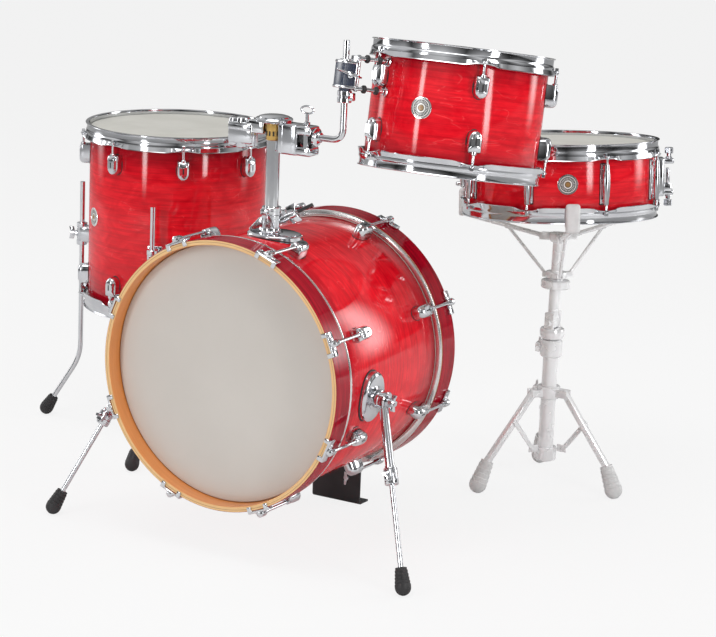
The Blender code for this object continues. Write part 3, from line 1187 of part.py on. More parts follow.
def stand_leg(word, frame, carrier, strut_shift):
    """Leg with its rubber foot, hung in the collar, and the strut that props it from the hub."""
    pivot = (LEG_PIVOT_RADIUS, LEG_PIVOT_HEIGHT)
    across = frame.to_3x3() @ Vector((0, 1, 0))
    swings = joint(f"stand_leg_{word}", frame @ Vector((pivot[0], 0, pivot[1])), across, carrier)
    leg = bar("leg_bar", pivot, STAND_LEG_FOOT_TOP, STAND_LEG_SIZE, STAND_LEG_SIZE[0], frame, 0)
    pin_length = STAND_LEG_SIZE[1] + 2 * EAR_SHEET
    pin = pin_lines("leg_pin", [0], *pivot, PIN_RADIUS, pin_length, frame)
    top = Vector((STAND_LEG_FOOT_TOP[0], 0, STAND_LEG_FOOT_TOP[1]))
    toe = Vector((STAND_FOOT_SPREAD, 0, STAND_FOOT_RADIUS))
    along = (toe - top).normalized()
    sole = toe + along * STAND_FOOT_RADIUS
    foot_length = (sole - top).length + OVERLAP
    foot = rounded_foot("stand_sole", STAND_FOOT_RADIUS, foot_length, frame @ aligned(sole, -along))
    slot = pin_lines("strut_slot", [0], *STRUT_TIP, bore_radius(PIN_RADIUS + OPEN_PIN_CLEARANCE, PIN_SIDES),
                     2 * THROUGH, frame)
    part(cut(join(leg, pin, foot), slot), f"stand_leg_{word}", "pale_steel", swings, PALE_RUBBER)

    start = (HUB_PIVOT_RADIUS, HUB_PIVOT_HEIGHT)
    props = joint(f"stand_strut_{word}", frame @ Vector((start[0], strut_shift, start[1])), across)
    strut = bar("strut_bar", start, STRUT_TIP, STRUT_SIZE, STRUT_SIZE[0], frame, strut_shift)
    reach = STAND_LEG_SIZE[1] / 2
    hub_pin = frame @ move(start[0], strut_shift, start[1]) @ turn(90, "X")
    tip_pin = frame @ move(STRUT_TIP[0], strut_shift, STRUT_TIP[1]) @ turn(90, "X")
    join(strut, cylinder("hub_pin", PIN_RADIUS, reach, hub_pin, PIN_SIDES),
         cylinder("tip_pin", PIN_RADIUS, reach, tip_pin, PIN_SIDES))
    part(strut, f"stand_strut_{word}", "pale_steel", props)


def stand_top(axis, pole):
    """Height tube with its tilter, and the basket with its nut, arms and the snare drum."""
    clamp_top = HEIGHT_CLAMP_BOTTOM + HEIGHT_CLAMP_HEIGHT
    slides = joint("stand_height", pole + Vector((0, 0, clamp_top)), (0, 0, 1))
    tube = between("height_tube", pole + Vector((0, 0, UPPER_TUBE_BOTTOM)),
                   pole + Vector((0, 0, TILTER_PIVOT)), UPPER_TUBE_RADIUS, ROUND_SIDES)
    bulb = collar_ring("tilter_cup", TILTER_RADIUS, UPPER_TUBE_RADIUS - OVERLAP, TILTER_BOTTOM,
                       TILTER_PIVOT - TILTER_BOTTOM - TILTER_RADIUS / 2, axis)
    lower_ears = [move(0, side * TILTER_EAR_SHIFT, TILTER_PIVOT) for side in (1, -1)]
    ears = blocks("tilter_ears", TILTER_EAR, lower_ears, axis)
    floor_cut = block("tilter_slot", (2 * TILTER_RADIUS, 2 * TILTER_EAR_SHIFT - TILTER_EAR[1], TILTER_SLOT),
                      axis @ move(0, 0, TILTER_PIVOT))
    bore = cylinder("tilter_bore", bore_radius(TILTER_PIN_RADIUS, ROD_SIDES), TILTER_PIN + THROUGH,
                    axis @ move(0, 0, TILTER_PIVOT) @ turn(90, "X") @ move(0, 0, -(TILTER_PIN + THROUGH) / 2),
                    ROD_SIDES)
    part(cut(join(tube, bulb, ears), floor_cut, bore), "stand_upper_tube", "pale_steel", slides)

    pivot = pole + Vector((0, 0, TILTER_PIVOT))
    tilts = joint("basket_tilt", pivot, (0, 1, 0), slides)
    frame = aligned(SNARE_CENTRE, (*SNARE_TILT, 1))
    hub_height = -BASKET_HUB_DROP
    hub_centre = frame @ Vector((0, 0, hub_height))
    stem = between("basket_stem", pivot, hub_centre, UPPER_TUBE_RADIUS, ROUND_SIDES)
    knuckle = block("tilter_knuckle", TILTER_KNUCKLE, axis @ move(0, 0, TILTER_PIVOT))
    pin = cylinder("tilter_pin", TILTER_PIN_RADIUS, TILTER_PIN,
                   axis @ move(0, 0, TILTER_PIVOT) @ turn(90, "X") @ move(0, 0, -TILTER_PIN / 2), ROD_SIDES)
    hub = cylinder("basket_disc", BASKET_HUB_RADIUS, BASKET_HUB_HEIGHT,
                   frame @ move(0, 0, hub_height - BASKET_HUB_HEIGHT / 2))
    rise = (hub_centre - pivot).normalized()
    nut_place = pivot + rise * ((BASKET_NUT_HEIGHT - pivot.z) / rise.z)
    nut = cylinder("basket_nut", BASKET_NUT_RADIUS, BASKET_NUT_THICKNESS,
                   aligned(nut_place - rise * BASKET_NUT_THICKNESS / 2, rise))
    ear_shift = BASKET_ARM_RADIUS + GAP + EAR_SHEET / 2
    ears = ear_pair("basket_ears", ARM_AZIMUTHS, BASKET_HUB_RADIUS, BASKET_ARM_START, hub_height,
                    [-ear_shift, ear_shift], frame)
    bores = pin_lines("basket_bores", ARM_AZIMUTHS, BASKET_ARM_START, hub_height,
                      bore_radius(PIN_RADIUS, PIN_SIDES), THROUGH, frame)
    part(cut(join(stem, knuckle, pin, hub, nut, ears), bores), "basket_hub", "pale_steel", tilts)
    for word, azimuth in zip(("front", "left", "rear"), ARM_AZIMUTHS):
        basket_arm(word, frame @ turn(azimuth, "Z"), tilts)
    snare_drum(tilts)


def basket_arm(word, frame, carrier):
    """Arm, brace and hooked grip that hold the snare drum's lower hoop."""
    start = Vector((BASKET_ARM_START, 0, -BASKET_HUB_DROP))
    across = frame.to_3x3() @ Vector((0, 1, 0))
    opens = joint(f"basket_arm_{word}", frame @ start, across, carrier)
    hoop_face = SNARE_RADIUS + FLANGE_REACH + GAP
    hoop_bottom = -SNARE_DEPTH / 2 - LIP_RISE - GAP
    grip_bottom = hoop_bottom - GRIP_BELOW
    grip_top = -SNARE_DEPTH / 2 + GRIP_ABOVE
    grip = block("grip_post", (GRIP_WALL, GRIP_WIDTH, grip_top - grip_bottom),
                 frame @ move(hoop_face + GRIP_WALL / 2, 0, (grip_top + grip_bottom) / 2))
    lip = block("grip_lip", (GRIP_LIP + OVERLAP, GRIP_WIDTH, GRIP_LIP_HEIGHT),
                frame @ move(hoop_face - (GRIP_LIP - OVERLAP) / 2, 0, hoop_bottom - GRIP_LIP_HEIGHT / 2))
    end = Vector((hoop_face + GRIP_WALL / 2, 0, grip_bottom + BASKET_ARM_RADIUS))
    rod = wire("arm_bar", [start, end], BASKET_ARM_RADIUS, frame)
    meet = start.lerp(end, BRACE_MEET)
    brace_start = Vector((BRACE_START[0], 0, BRACE_START[1] - BASKET_HUB_DROP))
    brace = wire("arm_brace", [brace_start, meet], BRACE_RADIUS, frame)
    pin = pin_lines("arm_pin", [0], BASKET_ARM_START, -BASKET_HUB_DROP, PIN_RADIUS,
                    2 * (BASKET_ARM_RADIUS + EAR_SHEET), frame)
    part(join(grip, lip, rod, brace, pin), f"basket_arm_{word}", "pale_steel", opens, PALE_RUBBER)


def centre_kit():
    """Moves the kit so that its box's bottom centre is the origin."""
    bpy.context.view_layer.update()
    graph = bpy.context.evaluated_depsgraph_get()
    corners = []
    for piece in PARTS.objects:
        if piece.type == "MESH":
            solid = piece.evaluated_get(graph)
            corners += [solid.matrix_world @ vertex.co for vertex in solid.data.vertices]
    low = [min(corner[axis] for corner in corners) for axis in range(3)]
    high = [max(corner[axis] for corner in corners) for axis in range(3)]
    ROOT.location = (-(low[0] + high[0]) / 2, -(low[1] + high[1]) / 2, -low[2])
    bpy.context.view_layer.update()


clear_scene()
bass = bass_drum()
spur(bass, 1, "right")
spur(bass, -1, "left")
lift(bass)
post_joint, post_top_height = tom_mount(bass)
arm_joint, arm_elbow, arm_direction = tom_arm(post_joint, holder_head(post_joint, post_top_height))
rack_tom(arm_joint, arm_elbow, arm_direction)
floor_tom()
stand()
centre_kit()
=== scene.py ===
import json
from math import atan2, cos, pi, radians, sin, sqrt

import bpy
from mathutils import Matrix, Vector

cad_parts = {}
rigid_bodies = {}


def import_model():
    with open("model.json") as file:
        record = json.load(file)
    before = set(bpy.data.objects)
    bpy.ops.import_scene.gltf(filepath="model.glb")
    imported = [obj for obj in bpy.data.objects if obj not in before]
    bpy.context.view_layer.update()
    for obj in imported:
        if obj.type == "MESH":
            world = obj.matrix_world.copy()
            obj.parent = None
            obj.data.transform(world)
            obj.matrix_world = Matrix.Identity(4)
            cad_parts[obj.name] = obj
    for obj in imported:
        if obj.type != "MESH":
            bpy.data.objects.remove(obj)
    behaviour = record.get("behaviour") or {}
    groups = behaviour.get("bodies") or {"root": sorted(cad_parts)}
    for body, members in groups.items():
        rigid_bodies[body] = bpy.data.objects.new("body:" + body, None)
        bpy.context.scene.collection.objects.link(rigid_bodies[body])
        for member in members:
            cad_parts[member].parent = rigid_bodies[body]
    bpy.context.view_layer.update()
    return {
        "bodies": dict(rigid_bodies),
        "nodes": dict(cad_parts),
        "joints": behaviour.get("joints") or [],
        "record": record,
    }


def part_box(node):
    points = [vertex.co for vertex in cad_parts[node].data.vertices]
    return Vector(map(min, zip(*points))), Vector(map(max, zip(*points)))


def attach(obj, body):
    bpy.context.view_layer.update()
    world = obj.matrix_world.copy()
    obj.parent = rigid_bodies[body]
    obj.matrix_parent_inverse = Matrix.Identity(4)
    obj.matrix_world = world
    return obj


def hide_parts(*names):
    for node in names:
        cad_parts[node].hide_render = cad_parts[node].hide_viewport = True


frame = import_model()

# Floor and studio.
FLOOR_WIDTH = 60.0
FLOOR_COLOUR = (0.82, 0.82, 0.82, 1)
FLOOR_SEEN = (0.962, 0.962, 0.962, 1)
FLOOR_SHARE = 0.87

scene = bpy.context.scene
scene.view_settings.view_transform = "Standard"


def deselect():
    """Leaves nothing selected, so that an operator acts on new work only."""
    if bpy.context.mode != "OBJECT":
        bpy.ops.object.mode_set(mode="OBJECT")
    bpy.ops.object.select_all(action="DESELECT")


def add(tree, kind, settings=(), **sockets):
    """A node with its settings and with its sockets set or linked."""
    node = tree.nodes.new("ShaderNode" + kind)
    for key, value in dict(settings).items():
        setattr(node, key, value)
    for key, value in sockets.items():
        socket = node.inputs[int(key[1:])] if key[1:].isdigit() else node.inputs[key.replace("_", " ")]
        if isinstance(value, bpy.types.NodeSocket):
            tree.links.new(value, socket)
        else:
            socket.default_value = value
    return node


def maths(tree, operation, first, second=0.0):
    """The result of a math node."""
    return add(tree, "Math", {"operation": operation}, _0=first, _1=second).outputs[0]


deselect()
bpy.ops.mesh.primitive_plane_add(size=FLOOR_WIDTH)
floor = bpy.context.object
floor.name = "studio_floor"
floor_paint = bpy.data.materials.new("studio_floor_paint")
floor_paint.use_nodes = True
tree = floor_paint.node_tree
tree.nodes.remove(tree.nodes["Principled BSDF"])
matt = add(tree, "BsdfDiffuse", Color=FLOOR_COLOUR)
seen = add(tree, "Emission", Color=FLOOR_SEEN)
path = add(tree, "LightPath")
direct = maths(tree, "MAXIMUM", path.outputs["Is Camera Ray"], path.outputs["Is Transmission Ray"])
share = maths(tree, "MULTIPLY", direct, FLOOR_SHARE)
blend = add(tree, "MixShader", _0=share, _1=matt.outputs[0], _2=seen.outputs[0])
tree.links.new(blend.outputs[0], tree.nodes["Material Output"].inputs["Surface"])
floor.data.materials.append(floor_paint)

# Light. Two narrow upright strip lamps in front and two wide ones at the sides draw the bright bands down
# the lacquer, under a broad soft ceiling lamp. Each fades towards its edges, so that no band has a hard end.
# The world is grey, with a dark band at the horizon and dark flags round it, which the chrome reflects.
STRIPS = (  # azimuth, width, height, power, share of the width that fades
    ("front_left", -104.0, 0.50, 2.4, 58.0, 0.6),
    ("front_right", -21.0, 0.55, 2.4, 70.0, 0.6),
    ("right_side", 44.0, 1.3, 2.6, 84.0, 1.0),
    ("left_side", -176.0, 1.3, 2.6, 60.0, 1.0),
)
STRIP_DISTANCE = 3.4
STRIP_MIDDLE = 1.35
STRIP_AIM = (0, 0, 0.6)
END_FADE = 0.6
CEILING = ((0.2, -0.9, 3.2), (0.1, 0.0, 0.4), 2.6, 1.6, 62.0)  # place, aim, width, depth, power
WORLD_BANDS = ((0.0, 0.45), (0.46, 0.30), (0.50, 0.04), (0.56, 0.28), (0.70, 0.75), (1.0, 0.60))
WORLD_FLAGS = ((0.0, 1.0), (0.10, 1.0), (0.13, 0.12), (0.18, 0.8), (0.26, 1.0), (0.34, 0.12), (0.40, 1.0),
               (0.50, 0.15), (0.55, 1.0), (0.63, 0.12), (0.70, 1.0), (0.80, 0.12), (0.86, 1.0), (1.0, 1.0))


def ranged(tree, value, low, high, start=0.0, end=1.0, steps="LINEAR"):
    """A value whose stretch from low to high becomes one from start to end, and goes no further."""
    return add(tree, "MapRange", {"interpolation_type": steps}, Value=value, From_Min=low, From_Max=high,
               To_Min=start, To_Max=end).outputs[0]


def linked(tree, node, **sockets):
    """Links results to a node's sockets."""
    for key, value in sockets.items():
        tree.links.new(value, node.inputs[key.replace("_", " ")])


def softbox(name, place, aim, width, height, power, edge=0.5):
    """Rectangular lamp at a place that faces a point and fades towards its sides."""
    lamp = bpy.data.objects.new(name, bpy.data.lights.new(name, "AREA"))
    lamp.data.shape = "RECTANGLE"
    lamp.data.size = width
    lamp.data.size_y = height
    lamp.data.energy = power
    lamp.location = place
    lamp.rotation_euler = (Vector(aim) - Vector(place)).to_track_quat("-Z", "Y").to_euler()
    scene.collection.objects.link(lamp)
    lamp.data.use_nodes = True
    tree = lamp.data.node_tree
    across = add(tree, "SeparateXYZ", _0=add(tree, "NewGeometry").outputs["Parametric"])
    fades = []
    for axis, share in (("X", edge), ("Y", END_FADE)):
        off_middle = maths(tree, "ABSOLUTE", maths(tree, "SUBTRACT", across.outputs[axis], 0.5))
        fades.append(ranged(tree, off_middle, 0.5 * (1 - share), 0.5, 1.0, 0.0, "SMOOTHSTEP"))
    linked(tree, tree.nodes["Emission"], Strength=maths(tree, "MULTIPLY", *fades))


for word, azimuth, width, height, power, edge in STRIPS:
    spot = (STRIP_DISTANCE * cos(radians(azimuth)), STRIP_DISTANCE * sin(radians(azimuth)), STRIP_MIDDLE)
    softbox("strip_" + word, spot, STRIP_AIM, width, height, power, edge)
softbox("ceiling", *CEILING)

world = bpy.data.worlds.new("studio_air")
world.use_nodes = True
scene.world = world
tree = world.node_tree


def ramp(tree, value, stops, steps="LINEAR"):
    """A colour ramp over a value, from pairs of position and grey level or colour."""
    node = add(tree, "ValToRGB", Fac=value)
    node.color_ramp.interpolation = steps
    elements = node.color_ramp.elements
    while len(elements) < len(stops):
        elements.new(0.5)
    for element, (position, shade) in zip(elements, stops):
        element.position = position
        element.color = (*shade[:3], 1) if isinstance(shade, tuple) else (shade, shade, shade, 1)
    return node.outputs[0]


direction = add(tree, "TexCoord")
split = add(tree, "SeparateXYZ", _0=direction.outputs["Generated"])
rise = ranged(tree, split.outputs["Z"], -1.0, 1.0)
around = ranged(tree, maths(tree, "ARCTAN2", split.outputs["Y"], split.outputs["X"]), -pi, pi)
shade = add(tree, "Mix", {"data_type": "RGBA", "blend_type": "MULTIPLY"}, Factor=1.0,
            _6=ramp(tree, rise, WORLD_BANDS), _7=ramp(tree, around, WORLD_FLAGS))
linked(tree, tree.nodes["Background"], Color=shade.outputs[2])

# Camera. Its place and turn were fitted to the outlines of the four drums, and it has no shift.
kit_low, kit_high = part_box("bass_shell")
kit = Vector(((kit_low.x + kit_high.x) / 2, (kit_low.y + kit_high.y) / 2, 0))
CAMERA_PLACE = Vector((2.338, -3.762, 1.440))
CAMERA_AZIMUTH = radians(30.127)
CAMERA_PITCH = radians(13.239)
CAMERA_ROLL = radians(2.297)
CAMERA_LENS = 127.56
SENSOR_WIDTH = 36.0

flat_right = Vector((cos(CAMERA_AZIMUTH), sin(CAMERA_AZIMUTH), 0))
forward = Vector((-sin(CAMERA_AZIMUTH) * cos(CAMERA_PITCH), cos(CAMERA_AZIMUTH) * cos(CAMERA_PITCH),
                  -sin(CAMERA_PITCH)))
flat_up = flat_right.cross(forward)
right = flat_right * cos(CAMERA_ROLL) + flat_up * sin(CAMERA_ROLL)
up = flat_up * cos(CAMERA_ROLL) - flat_right * sin(CAMERA_ROLL)
camera = bpy.data.objects.new("photo_camera", bpy.data.cameras.new("photo_camera"))
camera.data.sensor_width = SENSOR_WIDTH
camera.data.lens = CAMERA_LENS
facing = Matrix((right, up, -forward)).transposed().to_4x4()
camera.matrix_world = Matrix.Translation(kit + CAMERA_PLACE) @ facing
scene.collection.objects.link(camera)
scene.camera = camera

# Bass drum shell. A maple tube, stained crimson and darker towards its ends, under clear gloss lacquer. It is
# bent from plies and turned true, with a rounded bearing edge at each end. The post's hole in it isn't cut
# here, because the tom mount's foot covers it.
BASS_RADIUS = 0.2286
BASS_HALF = 0.178
BASS_WALL = 0.007
EDGE_ROUND = 0.0015
SMOOTH_STEPS = 144
SHARP = radians(35)
MERGE_DISTANCE = 0.00001


def shift(x, y, z):
    """Place moved by these distances."""
    return Matrix.Translation((x, y, z))


def rotated(degrees, axis):
    """Place turned about an axis."""
    return Matrix.Rotation(radians(degrees), 4, axis)


bass_frame = Matrix.Translation(kit + Vector((0, 0, (kit_low.z + kit_high.z) / 2))) @ rotated(90, "X")
GRAIN_STRETCH = (9, 9, 190)
CLOUD_STRETCH = (16, 16, 26)
STREAK_REFLECTION_STRETCH = (11, 11, 24)
GRAIN_DEPTH = 0.42
STREAK_REFLECTION_DEPTH = 0.35
END_DEPTH = 0.8
LACQUER_DARK = (0.34, 0.002, 0.008, 1)
LACQUER_RED = (0.68, 0.003, 0.013, 1)
LACQUER_BRIGHT = (0.94, 0.018, 0.030, 1)
LACQUER_END = (0.20, 0.002, 0.012, 1)
# Pale pink of the painted reflection streaks on the lacquer.
LACQUER_STREAK_REFLECTION = (0.95, 0.16, 0.16, 1)


def corner(start):
    """Edit mode on a new mesh that is one corner at a start point."""
    deselect()
    bpy.ops.mesh.primitive_plane_add(size=1)
    bpy.ops.object.mode_set(mode="EDIT")
    bpy.ops.mesh.select_mode(type="VERT")
    bpy.ops.mesh.select_all(action="SELECT")
    bpy.ops.mesh.merge(type="CENTER")
    bpy.ops.transform.translate(value=start)


def line(points):
    """Extrudes the one selected corner along the rest of the points."""
    corner(points[0])
    for before, after in zip(points, points[1:]):
        step = Vector(after) - Vector(before)
        bpy.ops.mesh.extrude_vertices_move(TRANSFORM_OT_translate={"value": step})


def done(name, place, smooth=SHARP):
    """Leaves edit mode, puts the mesh in its place in the world and shades it."""
    bpy.ops.mesh.select_all(action="SELECT")
    bpy.ops.mesh.remove_doubles(threshold=MERGE_DISTANCE)
    bpy.ops.mesh.normals_make_consistent(inside=False)
    bpy.ops.object.mode_set(mode="OBJECT")
    piece = bpy.context.object
    piece.name = name
    piece.data.name = name
    piece.data.transform(place)
    bpy.ops.object.shade_smooth_by_angle(angle=smooth)
    return piece


def spun(name, profile, place, steps=SMOOTH_STEPS, closed=True):
    """A section of radius and height pairs, spun round its place's z axis."""
    points = [(radius, 0, height) for radius, height in profile]
    line(points + points[:1] if closed else points)
    bpy.ops.mesh.select_all(action="SELECT")
    bpy.ops.mesh.spin(steps=steps, angle=2 * pi, center=(0, 0, 0), axis=(0, 0, 1))
    return done(name, place)


def at(azimuth, radius, height):
    """Place on a drum, with x outwards and z along its axis."""
    return rotated(azimuth, "Z") @ shift(radius, 0, height)


def joined(name, pieces):
    """Several meshes as one piece."""
    deselect()
    for piece in pieces:
        piece.select_set(True)
    bpy.context.view_layer.objects.active = pieces[0]
    bpy.ops.object.join()
    pieces[0].name = name
    pieces[0].data.name = name
    return pieces[0]


def copies(name, pattern, places):
    """A pattern copied to each place, as one piece. The pattern itself goes."""
    made = []
    for place in places:
        copy = pattern.copy()
        copy.data = pattern.data.copy()
        copy.data.transform(place)
        scene.collection.objects.link(copy)
        made.append(copy)
    bpy.data.objects.remove(pattern)
    return joined(name, made)


def fitted(piece, body, slot, material, *nodes):
    """Gives a piece its finish and its body, and hides the CAD nodes that it stands for."""
    piece.data.materials.clear()
    piece.data.materials.append(material)
    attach(piece, body)
    if nodes:
        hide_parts(*nodes)
    return piece


def new_group(name, inputs, outputs):
    """Empty shader group with its sockets, given as name, kind and default."""
    group = bpy.data.node_groups.new(name, "ShaderNodeTree")
    for socket, kind, value in inputs:
        made = group.interface.new_socket(socket, in_out="INPUT", socket_type="NodeSocket" + kind)
        if value is not None:
            made.default_value = value
    for socket, kind in outputs:
        group.interface.new_socket(socket, in_out="OUTPUT", socket_type="NodeSocket" + kind)
    return group, group.nodes.new("NodeGroupInput"), group.nodes.new("NodeGroupOutput")


def bare_material(name, **sockets):
    """A Principled material with its plain sockets set."""
    material = bpy.data.materials.new(name)
    material.use_nodes = True
    shader = material.node_tree.nodes["Principled BSDF"]
    for key, value in sockets.items():
        shader.inputs[key.replace("_", " ")].default_value = value
    return material, material.node_tree, shader


def scaled(tree, vector, sizes):
    """A vector with each of its parts multiplied."""
    return add(tree, "VectorMath", {"operation": "MULTIPLY"}, _0=vector, _1=sizes).outputs[0]


def mixed(tree, share, first, second):
    """The colour at a share of the way between two."""
    return add(tree, "Mix", {"data_type": "RGBA"}, Factor=share, _6=first, _7=second).outputs[2]


# Noise for the wood's grain, its curl and its darker ends, and for thin streaks of painted reflection on the
# lacquer.
figure_and_painted_streaks, figure_in, figure_out = new_group(
    "figure_and_painted_streaks",
    [("Vector", "Vector", None), ("Half Length", "Float", 0.178)],
    [("Grain", "Float"), ("Curl", "Float"), ("End", "Float"), ("Wisps", "Float")],
)
figure_at = figure_in.outputs["Vector"]
grain_noise = add(figure_and_painted_streaks, "TexNoise", Vector=scaled(figure_and_painted_streaks, figure_at, GRAIN_STRETCH), Scale=1.0,
                  Detail=5.0, Roughness=0.62)
curl_noise = add(figure_and_painted_streaks, "TexNoise", Vector=scaled(figure_and_painted_streaks, figure_at, CLOUD_STRETCH), Scale=1.0,
                 Detail=3.0, Distortion=1.6)
height_size = maths(figure_and_painted_streaks, "ABSOLUTE", add(figure_and_painted_streaks, "SeparateXYZ", _0=figure_at).outputs["Z"])
height_share = maths(figure_and_painted_streaks, "DIVIDE", height_size, figure_in.outputs["Half Length"])
# Thin lines where a stretched noise crosses its middle, kept to patches of the curl: painted reflection
# streaks.
bent_noise = add(figure_and_painted_streaks, "TexNoise", Vector=scaled(figure_and_painted_streaks, figure_at, STREAK_REFLECTION_STRETCH), Scale=1.0,
                 Detail=2.0, Distortion=1.1)
off_level = maths(figure_and_painted_streaks, "ABSOLUTE", maths(figure_and_painted_streaks, "SUBTRACT", bent_noise.outputs["Fac"], 0.5))
thin = ranged(figure_and_painted_streaks, off_level, 0.0, 0.010, 1.0, 0.0)
some = ranged(figure_and_painted_streaks, curl_noise.outputs["Fac"], 0.48, 0.60)
linked(figure_and_painted_streaks, figure_out, Grain=grain_noise.outputs["Fac"], Curl=curl_noise.outputs["Fac"],
       End=ranged(figure_and_painted_streaks, height_share, 0.45, 1.05, steps="SMOOTHSTEP"),
       Wisps=maths(figure_and_painted_streaks, "MULTIPLY", thin, some))


def placed(tree, place):
    """Object coordinates seen from a place, such as a drum's own frame."""
    coordinates = add(tree, "TexCoord")
    mapping = add(tree, "Mapping", {"vector_type": "TEXTURE"}, Vector=coordinates.outputs["Object"])
    mapping.inputs["Location"].default_value = place.translation
    mapping.inputs["Rotation"].default_value = place.to_euler()
    return mapping.outputs[0]


def crimson_lacquer(name, place, half_length):
    """Stained wood under clear lacquer, with its grain running round the drum's own axis, and thin pale
    streaks of painted reflection in its colour.
    """
    material, tree, shader = bare_material(name, Roughness=0.4, Specular_IOR_Level=0.0, Coat_Weight=0.75,
                                           Coat_Roughness=0.07, Coat_IOR=1.5)
    figure = add(tree, "Group", {"node_tree": figure_and_painted_streaks}, Vector=placed(tree, place),
                 Half_Length=half_length)
    shades = ramp(tree, figure.outputs["Curl"], ((0.30, LACQUER_RED), (0.72, LACQUER_BRIGHT)))
    lines = ranged(tree, figure.outputs["Grain"], 0.42, 0.64, 0.0, GRAIN_DEPTH)
    grained = mixed(tree, lines, shades, LACQUER_DARK)
    # Pale pink streaks mixed into the colour, as painted reflections on the lacquer.
    streak_reflected = mixed(tree, maths(tree, "MULTIPLY", figure.outputs["Wisps"], STREAK_REFLECTION_DEPTH), grained,
                   LACQUER_STREAK_REFLECTION)
    burst = mixed(tree, maths(tree, "MULTIPLY", figure.outputs["End"], END_DEPTH), streak_reflected, LACQUER_END)
    ripple = add(tree, "Bump", Strength=0.04, Distance=0.0006, Height=figure.outputs["Curl"])
    linked(tree, shader, Base_Color=burst, Normal=ripple.outputs[0])
    return material


def shell_section(radius, half, wall):
    """Section of a shell with its outer corners rounded and its bearing edges cut in to a ridge."""
    inner = radius - wall
    ridge = radius - 2 * EDGE_ROUND
    top = [(ridge, half), (radius - EDGE_ROUND / 2, half - EDGE_ROUND / 2), (radius, half - 2 * EDGE_ROUND)]
    return (top + [(radius, 0)] + [(out, -height) for out, height in reversed(top)]
            + [(inner, wall / 2 - half), (inner, half - wall / 2)])


bass_lacquer = crimson_lacquer("bass_crimson_lacquer", bass_frame, BASS_HALF)
fitted(spun("bass_drum_shell", shell_section(BASS_RADIUS, BASS_HALF, BASS_WALL), bass_frame),
       "kit", "shell_lacquer", bass_lacquer, "bass_shell")

# Bass drum heads. Each is a white polyester film drawn over the bearing edge and held by a pressed aluminium
# flesh hoop. The front film is smooth and plain, and the rear one is coated and a little marked by playing.
FILM_UNDER = 0.0003
FILM_TOP = 0.0013
COLLAR_IN = 0.0004
COLLAR_OUT = 0.0017
BASS_FLESH_TOP = 0.1627
BASS_FLESH_BOTTOM = 0.1547
BASS_FLESH_IN = 0.0020
BASS_FLESH_OUT = 0.0119
BASS_FLESH_ROUND = 0.003
front_place = bass_frame
rear_place = bass_frame @ rotated(180, "X")

uneven, uneven_in, uneven_out = new_group(
    "uneven_finish",
    [("Vector", "Vector", None), ("Scale", "Float", 10.0), ("Colour", "Color", None),
     ("Second Colour", "Color", None), ("Smooth", "Float", 0.1), ("Rough", "Float", 0.2),
     ("Depth", "Float", 0.1), ("Bump Scale", "Float", 200.0)],
    [("Colour", "Color"), ("Roughness", "Float"), ("Normal", "Vector")],
)
patches = add(uneven, "TexNoise", Vector=uneven_in.outputs["Vector"], Scale=uneven_in.outputs["Scale"],
              Detail=4.0)
spread = ranged(uneven, patches.outputs["Fac"], 0.35, 0.65)
tint = mixed(uneven, spread, uneven_in.outputs["Colour"], uneven_in.outputs["Second Colour"])
dull = ranged(uneven, patches.outputs["Fac"], 0.35, 0.65, uneven_in.outputs["Smooth"],
              uneven_in.outputs["Rough"])
fine = add(uneven, "TexNoise", Vector=uneven_in.outputs["Vector"], Scale=uneven_in.outputs["Bump Scale"],
           Detail=2.0)
relief = add(uneven, "Bump", Strength=uneven_in.outputs["Depth"], Distance=0.0004,
             Height=fine.outputs["Fac"])
linked(uneven, uneven_out, Colour=tint, Roughness=dull, Normal=relief.outputs[0])


def uneven_material(name, colour, second, smooth, rough, scale=12.0, depth=0.05, bump_scale=400.0, **plain):
    """A material whose colour and gloss drift a little over the surface, with a fine relief."""
    material, tree, shader = bare_material(name, **plain)
    coordinates = add(tree, "TexCoord")
    finish = add(tree, "Group", {"node_tree": uneven}, Vector=coordinates.outputs["Object"], Scale=scale,
                 Colour=(*colour, 1), Second_Colour=(*second, 1), Smooth=smooth, Rough=rough, Depth=depth,
                 Bump_Scale=bump_scale)
    linked(tree, shader, Base_Color=finish.outputs["Colour"], Roughness=finish.outputs["Roughness"],
           Normal=finish.outputs["Normal"])
    return material


smooth_film = uneven_material("smooth_film", (0.62, 0.585, 0.545), (0.59, 0.555, 0.515), 0.30, 0.38, 5.0,
                              0.02, 90.0)
coated_film = uneven_material("coated_film", (0.66, 0.65, 0.60), (0.61, 0.60, 0.55), 0.55, 0.72, 14.0, 0.30,
                              1400.0)
flesh_metal = uneven_material("flesh_hoop_aluminium", (0.80, 0.79, 0.78), (0.72, 0.71, 0.70), 0.14, 0.22,
                              30.0, 0.02, 500.0, Metallic=0.95)


def film_section(radius, half, lowest):
    """Half section of a film with its collar down to the flesh hoop, from the middle out and back in."""
    over = [(0, half + FILM_TOP), (radius - 0.012, half + FILM_TOP), (radius - 0.003, half + 0.0011),
            (radius, half + 0.0004), (radius + 0.0012, half - 0.0010), (radius + COLLAR_OUT, half - 0.0030),
            (radius + COLLAR_OUT, lowest)]
    under = [(radius + COLLAR_IN, lowest), (radius + COLLAR_IN, half - 0.0010),
             (radius - 0.003, half + FILM_UNDER), (0, half + FILM_UNDER)]
    return over + under


def flesh_section(inner, outer, top, bottom, rounding):
    """Rounded section of a pressed flesh hoop."""
    return [(inner, top), (outer - rounding, top), (outer - 0.3 * rounding, top - 0.3 * rounding),
            (outer, top - rounding), (outer, bottom + rounding),
            (outer - 0.3 * rounding, bottom + 0.3 * rounding), (outer - rounding, bottom), (inner, bottom)]


